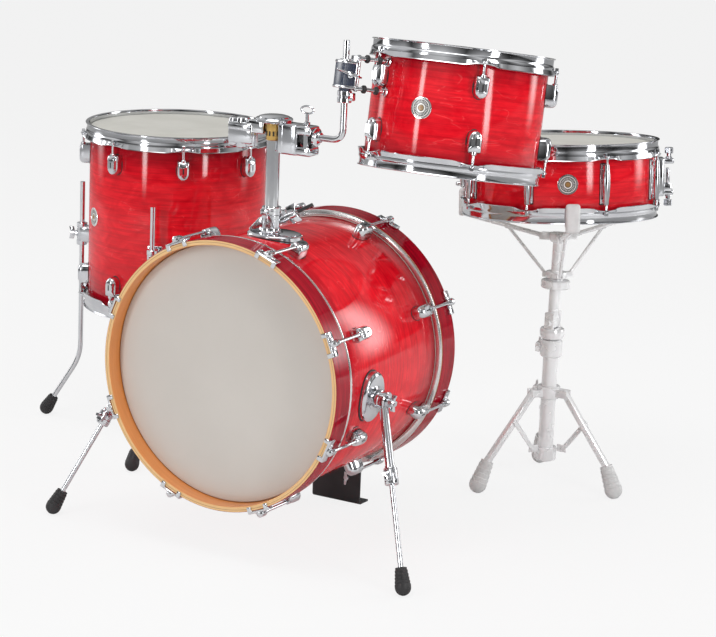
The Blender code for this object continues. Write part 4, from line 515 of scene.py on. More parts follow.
for word, place, film, slot in (("front", front_place, smooth_film, "smooth_head"),
                                ("rear", rear_place, coated_film, "coated_head")):
    section = film_section(BASS_RADIUS, BASS_HALF, BASS_FLESH_BOTTOM)
    fitted(spun(f"bass_{word}_film", section, place, closed=False), "kit", slot, film, f"bass_{word}_head")
    section = flesh_section(BASS_RADIUS + BASS_FLESH_IN, BASS_RADIUS + BASS_FLESH_OUT, BASS_FLESH_TOP,
                            BASS_FLESH_BOTTOM, BASS_FLESH_ROUND)
    fitted(spun(f"bass_{word}_flesh_hoop", section, place), "kit", "chrome", flesh_metal)

# Bass drum hoops. Bent maple ply, stained dark wine on the outside under gloss lacquer. The inside is left
# honey maple, and so is the paler front edge, where the glue between the plies shows as a thin dark line.
HOOP_OUTER = 0.2407
HOOP_INNER = 0.2308
HOOP_FRONT = 0.2087
HOOP_BACK = 0.1630
HOOP_ROUND = 0.0009
WINE_DARK = (0.20, 0.002, 0.010, 1)
WINE_RED = (0.42, 0.004, 0.018, 1)
MAPLE_LIGHT = (0.80, 0.32, 0.090, 1)
MAPLE_DARK = (0.62, 0.20, 0.045, 1)
MAPLE_EDGE = (0.80, 0.50, 0.22, 1)
MAPLE_GLUE = (0.22, 0.075, 0.025, 1)
GLUE_LINES = ((0.0, 0.0), (0.50, 0.0), (0.56, 0.9), (0.62, 0.0), (0.90, 0.0), (1.0, 0.7))


def wine_lacquer(name, place):
    """Dark red stained ply under gloss lacquer."""
    material, tree, shader = bare_material(name, Roughness=0.4, Specular_IOR_Level=0.0, Coat_Weight=0.6,
                                           Coat_Roughness=0.06)
    figure = add(tree, "Group", {"node_tree": figure_and_painted_streaks}, Vector=placed(tree, place))
    shades = mixed(tree, ranged(tree, figure.outputs["Grain"], 0.38, 0.66), WINE_RED, WINE_DARK)
    ripple = add(tree, "Bump", Strength=0.05, Distance=0.0006, Height=figure.outputs["Curl"])
    linked(tree, shader, Base_Color=shades, Normal=ripple.outputs[0])
    return material


def ply_maple(name, place):
    """Clear lacquered maple, paler on the front edge, with a dark glue line there and one along the rim."""
    material, tree, shader = bare_material(name, Roughness=0.38, Coat_Weight=0.5, Coat_Roughness=0.15)
    local = placed(tree, place)
    figure = add(tree, "Group", {"node_tree": figure_and_painted_streaks}, Vector=local)
    shades = mixed(tree, figure.outputs["Grain"], MAPLE_LIGHT, MAPLE_DARK)
    radius = add(tree, "VectorMath", {"operation": "LENGTH"}, _0=scaled(tree, local, (1, 1, 0)))
    ply = ranged(tree, radius.outputs["Value"], HOOP_INNER, HOOP_OUTER)
    paled = mixed(tree, ranged(tree, ply, 0.03, 0.10), shades, MAPLE_EDGE)
    linked(tree, shader, Base_Color=mixed(tree, ramp(tree, ply, GLUE_LINES), paled, MAPLE_GLUE))
    return material


hoop_wine = wine_lacquer("hoop_wine_lacquer", bass_frame)
hoop_maple = ply_maple("hoop_ply_maple", bass_frame)
hoop_section = [(HOOP_INNER + HOOP_ROUND, HOOP_FRONT), (HOOP_OUTER - HOOP_ROUND, HOOP_FRONT),
                (HOOP_OUTER, HOOP_FRONT - HOOP_ROUND), (HOOP_OUTER, HOOP_BACK + HOOP_ROUND),
                (HOOP_OUTER - HOOP_ROUND, HOOP_BACK), (HOOP_INNER + HOOP_ROUND, HOOP_BACK),
                (HOOP_INNER, HOOP_BACK + HOOP_ROUND), (HOOP_INNER, HOOP_FRONT - HOOP_ROUND)]
for word, place in (("front", front_place), ("rear", rear_place)):
    hoop = fitted(spun(f"bass_{word}_wood_hoop", hoop_section, place), "kit", "hoop_lacquer", hoop_maple,
                  f"bass_{word}_hoop")
    hoop.data.materials.append(hoop_wine)
    inverse = place.inverted()
    for face in hoop.data.polygons:
        middle = inverse @ face.center
        if sqrt(middle.x ** 2 + middle.y ** 2) > HOOP_OUTER - 0.6 * HOOP_ROUND:
            face.material_index = 1

# Bass drum claws and rods. Chrome plated castings hook over the hoop's edge with two fingers each, and a
# tension rod runs from each one's boss to its lug on the shell.
CLAW_WIDTH = 0.044
CLAW_SHEET = 0.0034
CLAW_BACK = 0.0125
FINGER_WIDTH = 0.0085
FINGER_REACH = 0.0085
CLAW_ROD_X = 0.0074
BOSS_RADIUS = 0.0066
CLAW_ROD_RADIUS = 0.0030
BASS_LUG_ANGLES = [22.5 + 45 * count for count in range(8)]
FRONT_LUG_HEIGHT = 0.100
REAR_LUG_HEIGHT = 0.112
LUG_HALF = 0.019
BRIDGE = (0.0062, 0.031, 0.0100)
BOSS_END = -0.0150
CLAW_FLARE = 0.0012

bright_chrome = uneven_material("bright_chrome", (0.69, 0.70, 0.72), (0.61, 0.62, 0.65), 0.05, 0.11, 22.0,
                                0.015, 160.0, Metallic=1.0)


def chromed(piece, body, *nodes):
    """Gives a piece its chrome and its body."""
    return fitted(piece, body, "chrome", bright_chrome, *nodes)


def block(size, middle):
    """Edit mode on a new box of a size round its middle."""
    deselect()
    bpy.ops.mesh.primitive_cube_add(size=1)
    bpy.ops.object.mode_set(mode="EDIT")
    bpy.ops.transform.resize(value=size)
    bpy.ops.transform.translate(value=middle)


def pick(test):
    """Selects the faces of the edited mesh whose centre and normal pass a test."""
    bpy.ops.object.mode_set(mode="OBJECT")
    mesh = bpy.context.object.data
    for group in (mesh.vertices, mesh.edges, mesh.polygons):
        group.foreach_set("select", [False] * len(group))
    for face in mesh.polygons:
        face.select = test(face.center, face.normal)
    bpy.ops.object.mode_set(mode="EDIT")
    bpy.ops.mesh.select_mode(type="FACE")


def push(offset):
    """Extrudes the selected faces by an offset."""
    bpy.ops.mesh.extrude_region_move(TRANSFORM_OT_translate={"value": offset})


def slice_at(axis, places):
    """Cuts the edited mesh across an axis at places along it."""
    for place in places:
        bpy.ops.mesh.select_all(action="SELECT")
        spot = [0, 0, 0]
        spot[axis] = place
        normal = [0, 0, 0]
        normal[axis] = 1
        bpy.ops.mesh.bisect(plane_co=spot, plane_no=normal)


def rounded(width, segments=2):
    """Bevels the sharp edges of the active piece with a modifier, which is applied."""
    if bpy.context.mode != "OBJECT":
        bpy.ops.object.mode_set(mode="OBJECT")
    piece = bpy.context.object
    bevel = piece.modifiers.new("rounded", "BEVEL")
    bevel.width = width
    bevel.segments = segments
    bevel.limit_method = "ANGLE"
    bpy.ops.object.modifier_apply(modifier=bevel.name)
    bpy.ops.object.mode_set(mode="EDIT")


block((CLAW_SHEET, CLAW_WIDTH, CLAW_BACK), (CLAW_SHEET / 2, 0, -CLAW_BACK / 2))
finger_edge = CLAW_WIDTH / 2 - FINGER_WIDTH
slice_at(1, (-finger_edge, finger_edge))
pick(lambda middle, normal: normal.z > 0.9 and abs(middle.y) > finger_edge)
push((0, 0, CLAW_SHEET))
pick(lambda middle, normal: normal.x < -0.9 and middle.z > 0 and abs(middle.y) > finger_edge)
push((-FINGER_REACH, 0, 0))
pick(lambda middle, normal: normal.x > 0.9 and abs(middle.y) > finger_edge and middle.z < 0)
bpy.ops.transform.translate(value=(CLAW_FLARE, 0, 0))
rounded(0.0011)
claw_hook = done("claw_hook", Matrix())
block(BRIDGE, (BRIDGE[0] / 2, 0, -0.0066))
pick(lambda middle, normal: normal.x > 0.9)
bpy.ops.transform.resize(value=(1, 0.72, 0.70))
rounded(0.0016, 3)
claw_bridge = done("claw_bridge", Matrix())
boss_section = [(0, 0.0030), (0.0030, 0.0030), (0.0038, 0.0020), (BOSS_RADIUS - 0.001, 0.0012),
                (BOSS_RADIUS, 0.0002), (BOSS_RADIUS, BOSS_END + 0.0025), (BOSS_RADIUS - 0.0014, BOSS_END),
                (0, BOSS_END)]
claw_boss = spun("claw_boss", boss_section, shift(CLAW_ROD_X, 0, 0), 24, closed=False)
claw = joined("claw", [claw_hook, claw_bridge, claw_boss])


def rod_section(start, end, radius):
    """Half section of a rod with a collar below its head end."""
    return [(0, start), (radius + 0.0016, start), (radius + 0.0016, start - 0.004),
            (radius, start - 0.0055), (radius, end), (0, end)]


BASS_ENDS = (("front", front_place, FRONT_LUG_HEIGHT), ("rear", rear_place, REAR_LUG_HEIGHT))
for word, place, lug_height in BASS_ENDS:
    hooks = claw.copy()
    hooks.data = claw.data.copy()
    spots = [place @ at(angle, HOOP_OUTER, HOOP_FRONT) for angle in BASS_LUG_ANGLES]
    chromed(copies(f"bass_{word}_claws", hooks, spots), "kit")
    rod = spun("claw_rod", rod_section(HOOP_FRONT + BOSS_END, lug_height + LUG_HALF - 0.004,
                                       CLAW_ROD_RADIUS), Matrix(), 16, closed=False)
    spots = [place @ at(angle, HOOP_OUTER + CLAW_ROD_X, 0) for angle in BASS_LUG_ANGLES]
    chromed(copies(f"bass_{word}_claw_rods", rod, spots), "kit")
bpy.data.objects.remove(claw)

# Bass drum lugs. Short chrome bullet castings with a slot down the middle, each on a thin black gasket and
# screwed through the shell, with a swivel nut for the rod at the end towards the hoop.
LUG_WIDTH = 0.0240
BASS_LUG_RISE = 0.0245
BASS_NUT_X = HOOP_OUTER + CLAW_ROD_X - BASS_RADIUS
BASS_GASKET = (0.041, 0.0265)
LUG_CROWN = ((0.50, 1.0), (0.22, 0.96), (0.16, 0.88), (0.12, 0.74))  # share of the rise, size after it
GASKET_SHEET = 0.0012
CIRCLE_STEPS = 40

gasket_rubber = uneven_material("gasket_rubber", (0.018, 0.016, 0.018), (0.03, 0.028, 0.03), 0.5, 0.7, 60.0,
                                0.1, 900.0)


def round_bar(name, sections, place, steps=CIRCLE_STEPS):
    """A turned piece from its radius and height pairs, closed to its axis at both ends."""
    profile = [(0, sections[0][1])] + list(sections) + [(0, sections[-1][1])]
    return spun(name, profile, place, steps, closed=False)


def boxed(name, size, place, width=0.0012, segments=2):
    """A block with rounded edges."""
    block(size, (0, 0, 0))
    rounded(width, segments)
    return done(name, place)


def bullet_lug(length, width, rise, nut_x):
    """A bullet lug on x = 0, with z along the drum, a nut in its flat end and a slot in its face."""
    side, low, foot = width / 2, -length * 0.12, length * 0.38
    turns = [pi * count / 12 for count in range(13)]
    outline = [(side * 0.80, length / 2, 0), (side * 0.96, length / 2 - 0.0014, 0),
               (side, length * 0.30, 0)]
    outline += [(side * cos(turn), low - foot * sin(turn), 0) for turn in turns]
    outline += [(-y, z, x) for y, z, x in outline[2::-1]]
    line(outline)
    bpy.ops.mesh.select_all(action="SELECT")
    bpy.ops.mesh.edge_face_add()
    for share, size in LUG_CROWN:
        push((0, 0, share * rise))
        bpy.ops.transform.resize(value=(size, size, 1))
    bpy.ops.mesh.inset(thickness=width * 0.06)
    bpy.ops.transform.resize(value=(0.24, 0.55, 1))
    push((0, 0, -0.0022))
    casting = done("lug_casting", Matrix(((0, 0, 1), (1, 0, 0), (0, 1, 0))).to_4x4())
    nut = round_bar("lug_nut", [(0.0050, length / 2 - 0.003), (0.0050, length / 2 + 0.0018),
                                (0.0042, length / 2 + 0.0028)], shift(nut_x, 0, 0), 20)
    return joined("lug", [casting, nut])


def gasket(length, width, rise):
    """Thin oval plate under a lug, which stands on x = 0, and a black block in the slot in its face as
    painted shade.
    """
    deselect()
    bpy.ops.mesh.primitive_cylinder_add(vertices=28, radius=0.5, depth=GASKET_SHEET)
    bpy.ops.object.mode_set(mode="EDIT")
    bpy.ops.transform.resize(value=(length, width, 1))
    rounded(0.0004, 1)
    plate = done("lug_gasket", rotated(90, "Y"))
    # The black block in the lug's slot is painted shade of the slot's depth.
    return joined("lug_gasket",
                  [plate, boxed("slot_painted_shade", (0.0010, width * 0.16, length * 0.30),
                                shift(rise - 0.0014, 0, -length * 0.02), 0.0003, 1)])


for word, place, lug_height in BASS_ENDS:
    spots = [place @ at(angle, BASS_RADIUS, lug_height) for angle in BASS_LUG_ANGLES]
    lug = bullet_lug(2 * LUG_HALF, LUG_WIDTH, BASS_LUG_RISE, BASS_NUT_X)
    chromed(copies(f"bass_{word}_lugs", lug, spots), "kit")
    # Each gasket piece also carries the black block of painted shade in its lug's slot.
    fitted(copies(f"bass_{word}_lug_gaskets", gasket(*BASS_GASKET, BASS_LUG_RISE), spots), "kit",
           "black_rubber", gasket_rubber)

# Bass drum spurs. Each has an oval chrome plate on a black gasket, bolted to the shell, with a stepped boss
# and a wing nut that lock the folding tube. A steel rod slides in the tube's clamp and ends in a rubber foot.
SPUR_HEIGHT = 0.073
SPUR_PLATE = (0.035, 0.045, 0.011)
SPUR_BOSS_TOP = 0.016
SPUR_HUB = (0.017, 0.0163, 0.0363)
SPUR_PIN = (0.005, 0.0483)
SPUR_REACH = (0.1224, -0.115)
SPUR_TUBE = (0.008, 0.150)
SPUR_CLAMP = (0.012, 0.030)
SPUR_ROD = (0.0048, 0.075)
FOOT = (0.014, 0.048)
SPUR_SPREAD = 96
PAD_SECTION = ((1.0, -0.0005), (1.0, 0.0012), (0.98, 0.0016))
PAD_SPARE = 0.002

foot_rubber = uneven_material("foot_rubber", (0.014, 0.013, 0.014), (0.028, 0.026, 0.028), 0.48, 0.66, 50.0,
                              0.12, 700.0)


def moved(piece, place):
    """Puts a finished mesh in a place."""
    piece.data.transform(place)
    return piece


def outwards(azimuth, radius, height):
    """Place on a drum's side, with z outwards and x against the drum's axis."""
    return at(azimuth, radius, height) @ rotated(90, "Y")


def aligned(start, direction):
    """Place at a point, with z along a direction."""
    turn = Vector((0, 0, 1)).rotation_difference(Vector(direction))
    return Matrix.Translation(start) @ turn.to_matrix().to_4x4()


def key_screw(size=1.0):
    """A clamp screw with a collar and a square head, standing on z = 0."""
    collar = round_bar("key_collar", [(0.0042, -0.002), (0.0042, 0.0022), (0.0036, 0.003)], Matrix(), 20)
    head = boxed("key_head", (0.0055, 0.0055, 0.0090), shift(0, 0, 0.0073), 0.0006, 1)
    return moved(joined("key_screw", [collar, head]), Matrix.Scale(size, 4))


def wing(width, depth, sheet, hub):
    """A wing nut or bolt head across y, standing on z = 0."""
    block((sheet, width, depth), (0, 0, depth / 2))
    slice_at(1, (-width * 0.14, width * 0.14))
    pick(lambda middle, normal: normal.z > 0.9 and abs(middle.y) < width * 0.1)
    bpy.ops.transform.translate(value=(0, 0, -depth * 0.35))
    pick(lambda middle, normal: abs(normal.y) > 0.9 and abs(middle.y) > width * 0.4)
    bpy.ops.transform.resize(value=(0.8, 1, 0.7))
    rounded(min(sheet, depth) * 0.22, 2)
    lobes = done("wing_lobes", Matrix())
    core = round_bar("wing_core", [(hub, 0), (hub, depth * 0.45), (hub * 0.7, depth * 0.62)], Matrix(), 20)
    return joined("wing", [lobes, core])


def rubber_foot(name, radius, length, place, bore):
    """A ribbed rubber foot with a round sole at its place."""
    sole = [(radius * sin(radians(angle)), radius * (1 - cos(radians(angle))))
            for angle in (15, 35, 55, 75, 90)]
    ribs = []
    for count in range(5):
        base = radius + 0.002 + count * (length - radius - 0.004) / 5
        neck = radius * (1 - 0.05 * count)
        ribs += [(neck, base), (neck, base + 0.0035), (neck - 0.0011, base + 0.0042),
                 (neck - 0.0011, base + 0.0052)]
    return round_bar(name, sole + ribs + [(radius * 0.72, length), (bore, length)], place)


def wrapped(piece, radius):
    """Bends a flat piece round a shell whose axis runs along the piece's x."""
    for vertex in piece.data.vertices:
        vertex.co.z += sqrt(radius ** 2 - vertex.co.y ** 2) - radius
    return piece


def disc(name, sections, stretch, steps=56):
    """A turned plate of unit radius, stretched to an oval."""
    return moved(round_bar(name, sections, Matrix(), steps), Matrix.Diagonal((*stretch, 1, 1)))


for side, word in ((1, "right"), (-1, "left")):
    seat = bass_frame @ outwards(90 - side * SPUR_SPREAD, BASS_RADIUS, SPUR_HEIGHT)
    plate = disc("spur_plate", [(1.0, -0.0055), (1.0, 0.006), (0.97, 0.0085), (0.90, 0.0103),
                                (0.80, SPUR_PLATE[2])], SPUR_PLATE[:2])
    boss = round_bar("spur_boss", [(0.021, 0.0105), (0.021, 0.0125), (0.0185, 0.0135),
                                   (SPUR_HUB[0], 0.0140), (SPUR_HUB[0], SPUR_BOSS_TOP)], Matrix())
    pin = round_bar("spur_pin", [(SPUR_PIN[0], SPUR_HUB[2] - 0.022), (SPUR_PIN[0], SPUR_PIN[1] + 0.004)],
                    Matrix(), 24)
    washer = round_bar("spur_washer", [(0.011, 0.0368), (0.011, 0.0384), (0.0078, 0.0390),
                                       (0.0078, 0.0425)], Matrix())
    grip = moved(wing(0.030, 0.013, 0.0058, 0.0072), shift(0, 0, 0.0415))
    bracket = moved(joined(f"spur_{word}_bracket", [plate, boss, pin, washer, grip]), seat)
    chromed(bracket, "kit", f"spur_bracket_{word}")
    pad = disc(f"spur_{word}_gasket", PAD_SECTION, [size + PAD_SPARE for size in SPUR_PLATE[:2]])
    fitted(moved(wrapped(pad, BASS_RADIUS), seat), "kit", "black_rubber", gasket_rubber)

    pivot = seat @ Vector((0, 0, (SPUR_HUB[1] + SPUR_HUB[2]) / 2))
    target = Vector((pivot.x + side * SPUR_REACH[0], pivot.y + SPUR_REACH[1], 0))
    along = (target - pivot).normalized()
    hub = round_bar("spur_hub", [(SPUR_HUB[0] - 0.001, SPUR_HUB[1]), (SPUR_HUB[0], SPUR_HUB[1] + 0.001),
                                 (SPUR_HUB[0], SPUR_HUB[1] + 0.007),
                                 (SPUR_HUB[0] - 0.0012, SPUR_HUB[1] + 0.008),
                                 (SPUR_HUB[0] - 0.0012, SPUR_HUB[2] - 0.008),
                                 (SPUR_HUB[0], SPUR_HUB[2] - 0.007), (SPUR_HUB[0], SPUR_HUB[2] - 0.0015),
                                 (SPUR_HUB[0] - 0.0015, SPUR_HUB[2])], seat)
    length = SPUR_TUBE[1]
    clamp_start = length - SPUR_CLAMP[1]
    stem = round_bar("spur_stem", [(SPUR_TUBE[0], 0.008), (SPUR_TUBE[0], clamp_start - 0.004),
                                   (0.0092, clamp_start - 0.003), (0.0092, clamp_start),
                                   (0.0114, clamp_start + 0.0008), (SPUR_CLAMP[0], clamp_start + 0.002),
                                   (SPUR_CLAMP[0], clamp_start + 0.012), (0.0112, clamp_start + 0.013),
                                   (0.0112, clamp_start + 0.017), (SPUR_CLAMP[0], clamp_start + 0.018),
                                   (SPUR_CLAMP[0], length - 0.002), (0.0110, length - 0.0004),
                                   (0.0052, length - 0.0004)], aligned(pivot, along))
    outer = along.cross(seat.to_3x3() @ Vector((0, 0, 1))).normalized()
    grip_spot = pivot + along * (length - 0.016)
    ear = boxed("spur_ear", (0.010, 0.013, 0.020), aligned(grip_spot + outer * side * 0.012, along), 0.0016)
    screw = moved(key_screw(), aligned(grip_spot + outer * side * 0.017, outer * side))
    tube = joined(f"spur_{word}_tube", [hub, stem, ear, screw])
    chromed(tube, f"spur_fold_{word}", f"spur_tube_{word}")

    centre = pivot + along * ((FOOT[0] - pivot.z) / along.z)
    toe = centre + along * FOOT[0]
    reach = (toe - pivot).length - 0.0125
    rod = round_bar(f"spur_{word}_rod",
                    [(SPUR_ROD[0] - 0.0005, SPUR_ROD[1]), (SPUR_ROD[0], SPUR_ROD[1] + 0.0006),
                     (SPUR_ROD[0], reach)], aligned(pivot, along), 32)
    chromed(rod, f"spur_length_{word}", f"spur_rod_{word}")
    sole = rubber_foot(f"spur_{word}_foot", *FOOT, aligned(toe, -along), SPUR_ROD[0] + 0.0001)
    fitted(sole, f"spur_length_{word}", "black_rubber", foot_rubber, f"spur_foot_{word}")

# Lift under the rear hoop. A black painted steel plate, bent to a foot and a ledge, that keeps the drum level
# for a pedal, with a chrome wing screw that grips the hoop.
LIFT_REAR = 0.209
LIFT_WIDTH = 0.104
LIFT_SHEET = 0.004
LIFT_HEIGHT = 0.112
LIFT_FOOT = 0.034
LEDGE = (0.050, 0.0405, 0.0045, 0.0860)
LIFT_SCREW = (0.030, 0.193, 0.054)

black_paint = uneven_material("black_paint", (0.018, 0.018, 0.020), (0.030, 0.030, 0.032), 0.30, 0.46, 25.0,
                              0.08, 600.0)


def slab(name, outline, width, place, bevel=0.0008, segments=2):
    """A flat outline in the xy plane, given a width along z."""
    line([(x, y, -width / 2) for x, y in outline])
    bpy.ops.mesh.select_all(action="SELECT")
    bpy.ops.mesh.edge_face_add()
    push((0, 0, width))
    bpy.ops.mesh.select_all(action="SELECT")
    bpy.ops.mesh.normals_make_consistent(inside=False)
    rounded(bevel, segments)
    return done(name, place)


kit_place = Matrix.Translation(kit)
side_view = kit_place @ Matrix(((0, 0, 1, 0), (1, 0, 0, 0), (0, 1, 0, 0), (0, 0, 0, 1)))
bracket_outline = [(LIFT_REAR, 0.006), (LIFT_REAR + 0.0018, 0.0018), (LIFT_REAR + 0.006, 0),
                   (LIFT_REAR + LIFT_FOOT, 0), (LIFT_REAR + LIFT_FOOT, LIFT_SHEET),
                   (LIFT_REAR + LIFT_SHEET + 0.003, LIFT_SHEET),
                   (LIFT_REAR + LIFT_SHEET, LIFT_SHEET + 0.003), (LIFT_REAR + LIFT_SHEET, LIFT_HEIGHT),
                   (LIFT_REAR, LIFT_HEIGHT)]
upright_sheet = slab("lift_upright", bracket_outline, LIFT_WIDTH, side_view)
ledge_place = kit_place @ shift(0, LIFT_REAR - LEDGE[1] / 2, LEDGE[3] - LEDGE[2] / 2)
ledge = boxed("lift_ledge", LEDGE[:3], ledge_place, 0.001)
fitted(joined("bass_lift_plate", [upright_sheet, ledge]), "kit", "black_steel", black_paint, "lift_plate")
shaft = round_bar("lift_shaft", [(0.003, 0), (0.003, 0.0265)], Matrix(), 20)
grip = moved(wing(0.026, 0.010, 0.0055, 0.0055), rotated(180, "X") @ shift(0, 0, -0.0050))
nut = round_bar("lift_nut", [(0.0056, 0.0203), (0.0060, 0.0207), (0.0060, 0.0248), (0.0056, 0.0252)],
                Matrix(), 6)
whole = moved(joined("bass_lift_screw", [shaft, grip, nut]), kit_place @ aligned(LIFT_SCREW, (0, 1, 0)))
chromed(whole, "lift_screw", "lift_screw")

# Tom mount on the bass drum. A chrome casting with an oval foot, a fin and a receiver for the post, a wing
# bolt with a black tip, a memory collar with a key screw, and the thick chrome post.
POST = Vector((0.003, -0.056, 0))
SHELL_TOP = 0.5554
POST_RADIUS = 0.012
POST_ENDS = (0.4704, 0.7504)
RECEIVER = (0.0165, 0.0365)
MOUNT_PLATE = (0.052, 0.040, 0.0055, 0.008)
COLLAR_ENDS = (0.5922, 0.6059)

post_place = kit_place @ Matrix.Translation(POST)
shell_place = post_place @ shift(0, 0, SHELL_TOP)
foot = moved(disc("mount_foot", [(1.0, -0.0062), (1.0, 0.0022), (0.985, 0.0038), (0.95, 0.0049),
                                 (0.90, MOUNT_PLATE[2])], MOUNT_PLATE[:2]), shift(MOUNT_PLATE[3], 0, 0))
receiver = spun("mount_receiver", [(0.0128, 0.0), (0.0128, 0.0360), (0.0134, RECEIVER[1]),
                                   (0.0158, RECEIVER[1]), (RECEIVER[0], 0.0358), (RECEIVER[0], 0.0300),
                                   (0.0158, 0.0292), (0.0158, 0.0150), (RECEIVER[0], 0.0142),
                                   (RECEIVER[0], 0.0100), (0.0185, 0.0070), (0.0225, 0.0054),
                                   (0.0225, 0.0)], Matrix(), CIRCLE_STEPS)
upright_view = Matrix(((1, 0, 0, 0), (0, 0, -1, 0), (0, 1, 0, 0), (0, 0, 0, 1)))
fin = slab("mount_fin", [(-0.042, 0.005), (-0.013, 0.005), (-0.013, 0.0315), (-0.0165, 0.0315),
                         (-0.021, 0.0290), (-0.040, 0.0085)], 0.018, upright_view, 0.0022, 3)
bolt_place = shift(0, 0, 0.018) @ rotated(40, "Z") @ aligned((0, 0, 0), (1, 0, 0.5))
bolt = round_bar("mount_bolt", [(0.0075, 0.015), (0.0075, 0.021), (0.0090, 0.0215), (0.0090, 0.026),
                                (0.0075, 0.0265), (0.0075, 0.0335), (0.0068, 0.034)], bolt_place, 28)
lobes = moved(wing(0.034, 0.026, 0.0058, 0.0068), bolt_place @ shift(0, 0, 0.032) @ rotated(90, "Z"))
mount = moved(joined("tom_mount_base", [foot, receiver, fin, bolt, lobes]), shell_place)
chromed(mount, "kit", "mount_base")
tip_section = [(0.0032, 0.052), (0.0032, 0.0805), (0.0026, 0.082)]
tip = round_bar("tom_mount_bolt_tip", tip_section, shell_place @ bolt_place, 20)
fitted(tip, "kit", "black_rubber", black_paint)
pad = disc("tom_mount_gasket", PAD_SECTION, (MOUNT_PLATE[1] + PAD_SPARE, MOUNT_PLATE[0] + PAD_SPARE))
pad_place = shell_place @ shift(MOUNT_PLATE[3], 0, 0) @ rotated(90, "Z")
fitted(moved(wrapped(pad, BASS_RADIUS), pad_place), "kit", "black_rubber", gasket_rubber)

ring = spun("collar_ring", [(0.0126, COLLAR_ENDS[0]), (0.0126, COLLAR_ENDS[1]), (0.0165, COLLAR_ENDS[1]),
                            (0.0172, COLLAR_ENDS[1] - 0.0008), (0.0172, COLLAR_ENDS[0] + 0.0008),
                            (0.0165, COLLAR_ENDS[0])], post_place, CIRCLE_STEPS)
middle = (COLLAR_ENDS[0] + COLLAR_ENDS[1]) / 2
ear = boxed("collar_ear", (0.014, 0.014, 0.012), post_place @ shift(0, -0.0195, middle), 0.0022, 3)
screw = moved(key_screw(), post_place @ aligned((0.0068, -0.0210, middle), (1, 0, 0)))
chromed(joined("mount_memory_collar", [ring, ear, screw]), "post_swivel", "mount_collar")
post = spun("tom_post", [(0.0100, POST_ENDS[0]), (0.0100, POST_ENDS[1]), (0.0115, POST_ENDS[1]),
                         (POST_RADIUS, POST_ENDS[1] - 0.0006), (POST_RADIUS, POST_ENDS[0] + 0.0006),
                         (0.0115, POST_ENDS[0])], post_place, 48)
chromed(post, "post_height", "mount_post")

# Holder head on the post. A brass coloured neck with small windows, drawn as thin black patches of painted
# shade, a thin chrome cap, a left block of three upright barrels and a right block that clamps the arm's ball
# with a ring screw.
NECK = (0.0138, 0.7244, 0.7560)
CAP_ENDS = (0.7567, 0.7687)
CAP_RADIUS = 0.033
BLOCK_ENDS = (0.7037, 0.7577)
RIGHT_BLOCK = (0.017, 0.085)
LEFT_BLOCK = (-0.092, -0.035)
ARM_AXIS = 0.7387
RING_X = 0.067


def mirrored(points):
    """A turned section, given up to its middle, with its other half."""
    return points + [(radius, -height) for radius, height in reversed(points)]


brass = uneven_material("brass_neck", (0.62, 0.40, 0.13), (0.50, 0.31, 0.10), 0.16, 0.28, 30.0, 0.03, 500.0,
                        Metallic=1.0)
# Near black for the neck's windows: painted shade of the openings.
window_painted_shade = uneven_material("neck_window_shade", (0.030, 0.024, 0.016), (0.05, 0.04, 0.025), 0.4, 0.6, 40.0,
                              0.05)
cap = spun("holder_cap", [(0, 0.7512), (0.0128, 0.7512), (0.0136, 0.7555), (0.0280, CAP_ENDS[0]),
                          (CAP_RADIUS - 0.001, CAP_ENDS[0]), (CAP_RADIUS, CAP_ENDS[0] + 0.001),
                          (CAP_RADIUS, CAP_ENDS[0] + 0.0050), (CAP_RADIUS - 0.0012, CAP_ENDS[0] + 0.0064),
                          (CAP_RADIUS - 0.0050, CAP_ENDS[0] + 0.0070),
                          (CAP_RADIUS - 0.0060, CAP_ENDS[0] + 0.0090), (0.020, CAP_ENDS[1] - 0.001),
                          (0.008, CAP_ENDS[1]), (0, CAP_ENDS[1])], post_place, 64, closed=False)
height = BLOCK_ENDS[1] - BLOCK_ENDS[0]
middle = (BLOCK_ENDS[0] + BLOCK_ENDS[1]) / 2
left_pieces = []
for x, radius, share in ((LEFT_BLOCK[0] + 0.0105, 0.0105, 0.92), (LEFT_BLOCK[0] + 0.0285, 0.0120, 1.0),
                         (LEFT_BLOCK[1] - 0.0110, 0.0110, 0.86)):
    half = height * share / 2
    section = mirrored([(radius - 0.0030, -half), (radius - 0.0008, -half + 0.0012),
                        (radius, -half + 0.0035)])
    left_pieces.append(round_bar("holder_barrel", section, post_place @ shift(x, 0, middle)))
left_pieces.append(boxed("holder_left_core", (0.050, 0.026, 0.038), post_place @ shift(-0.0635, 0, middle),
                         0.004, 3))
left_pieces.append(boxed("holder_left_plate", (0.044, 0.0335, 0.010),
                         post_place @ shift(-0.0635, 0, middle + 0.010), 0.002, 2))
bridge = boxed("holder_bridge", (0.032, 0.022, 0.024), post_place @ shift(-0.032, 0, 0.7445), 0.003, 3)
core_place = post_place @ shift(RIGHT_BLOCK[0] + 0.020, 0, middle)
right_core = boxed("holder_right_core", (0.040, 0.034, height), core_place, 0.0045, 4)
right_plates = [boxed("holder_right_plate", (0.030, 0.034, 0.016),
                      post_place @ shift(RIGHT_BLOCK[0] + 0.052, 0, middle + side * 0.018), 0.004, 3)
                for side in (1, -1)]
ribs = [boxed("holder_rib", (0.006, 0.0345, 0.050), post_place @ shift(RIGHT_BLOCK[0] + x, 0, middle),
              0.002, 2) for x in (0.010, 0.030)]
ball = round_bar("holder_ball", [(0.0155 * sin(radians(angle)), -0.0155 * cos(radians(angle)))
                                 for angle in range(15, 180, 15)],
                 post_place @ aligned((RIGHT_BLOCK[1] - 0.0165, 0, ARM_AXIS - 0.004), (1, 0, 0)))
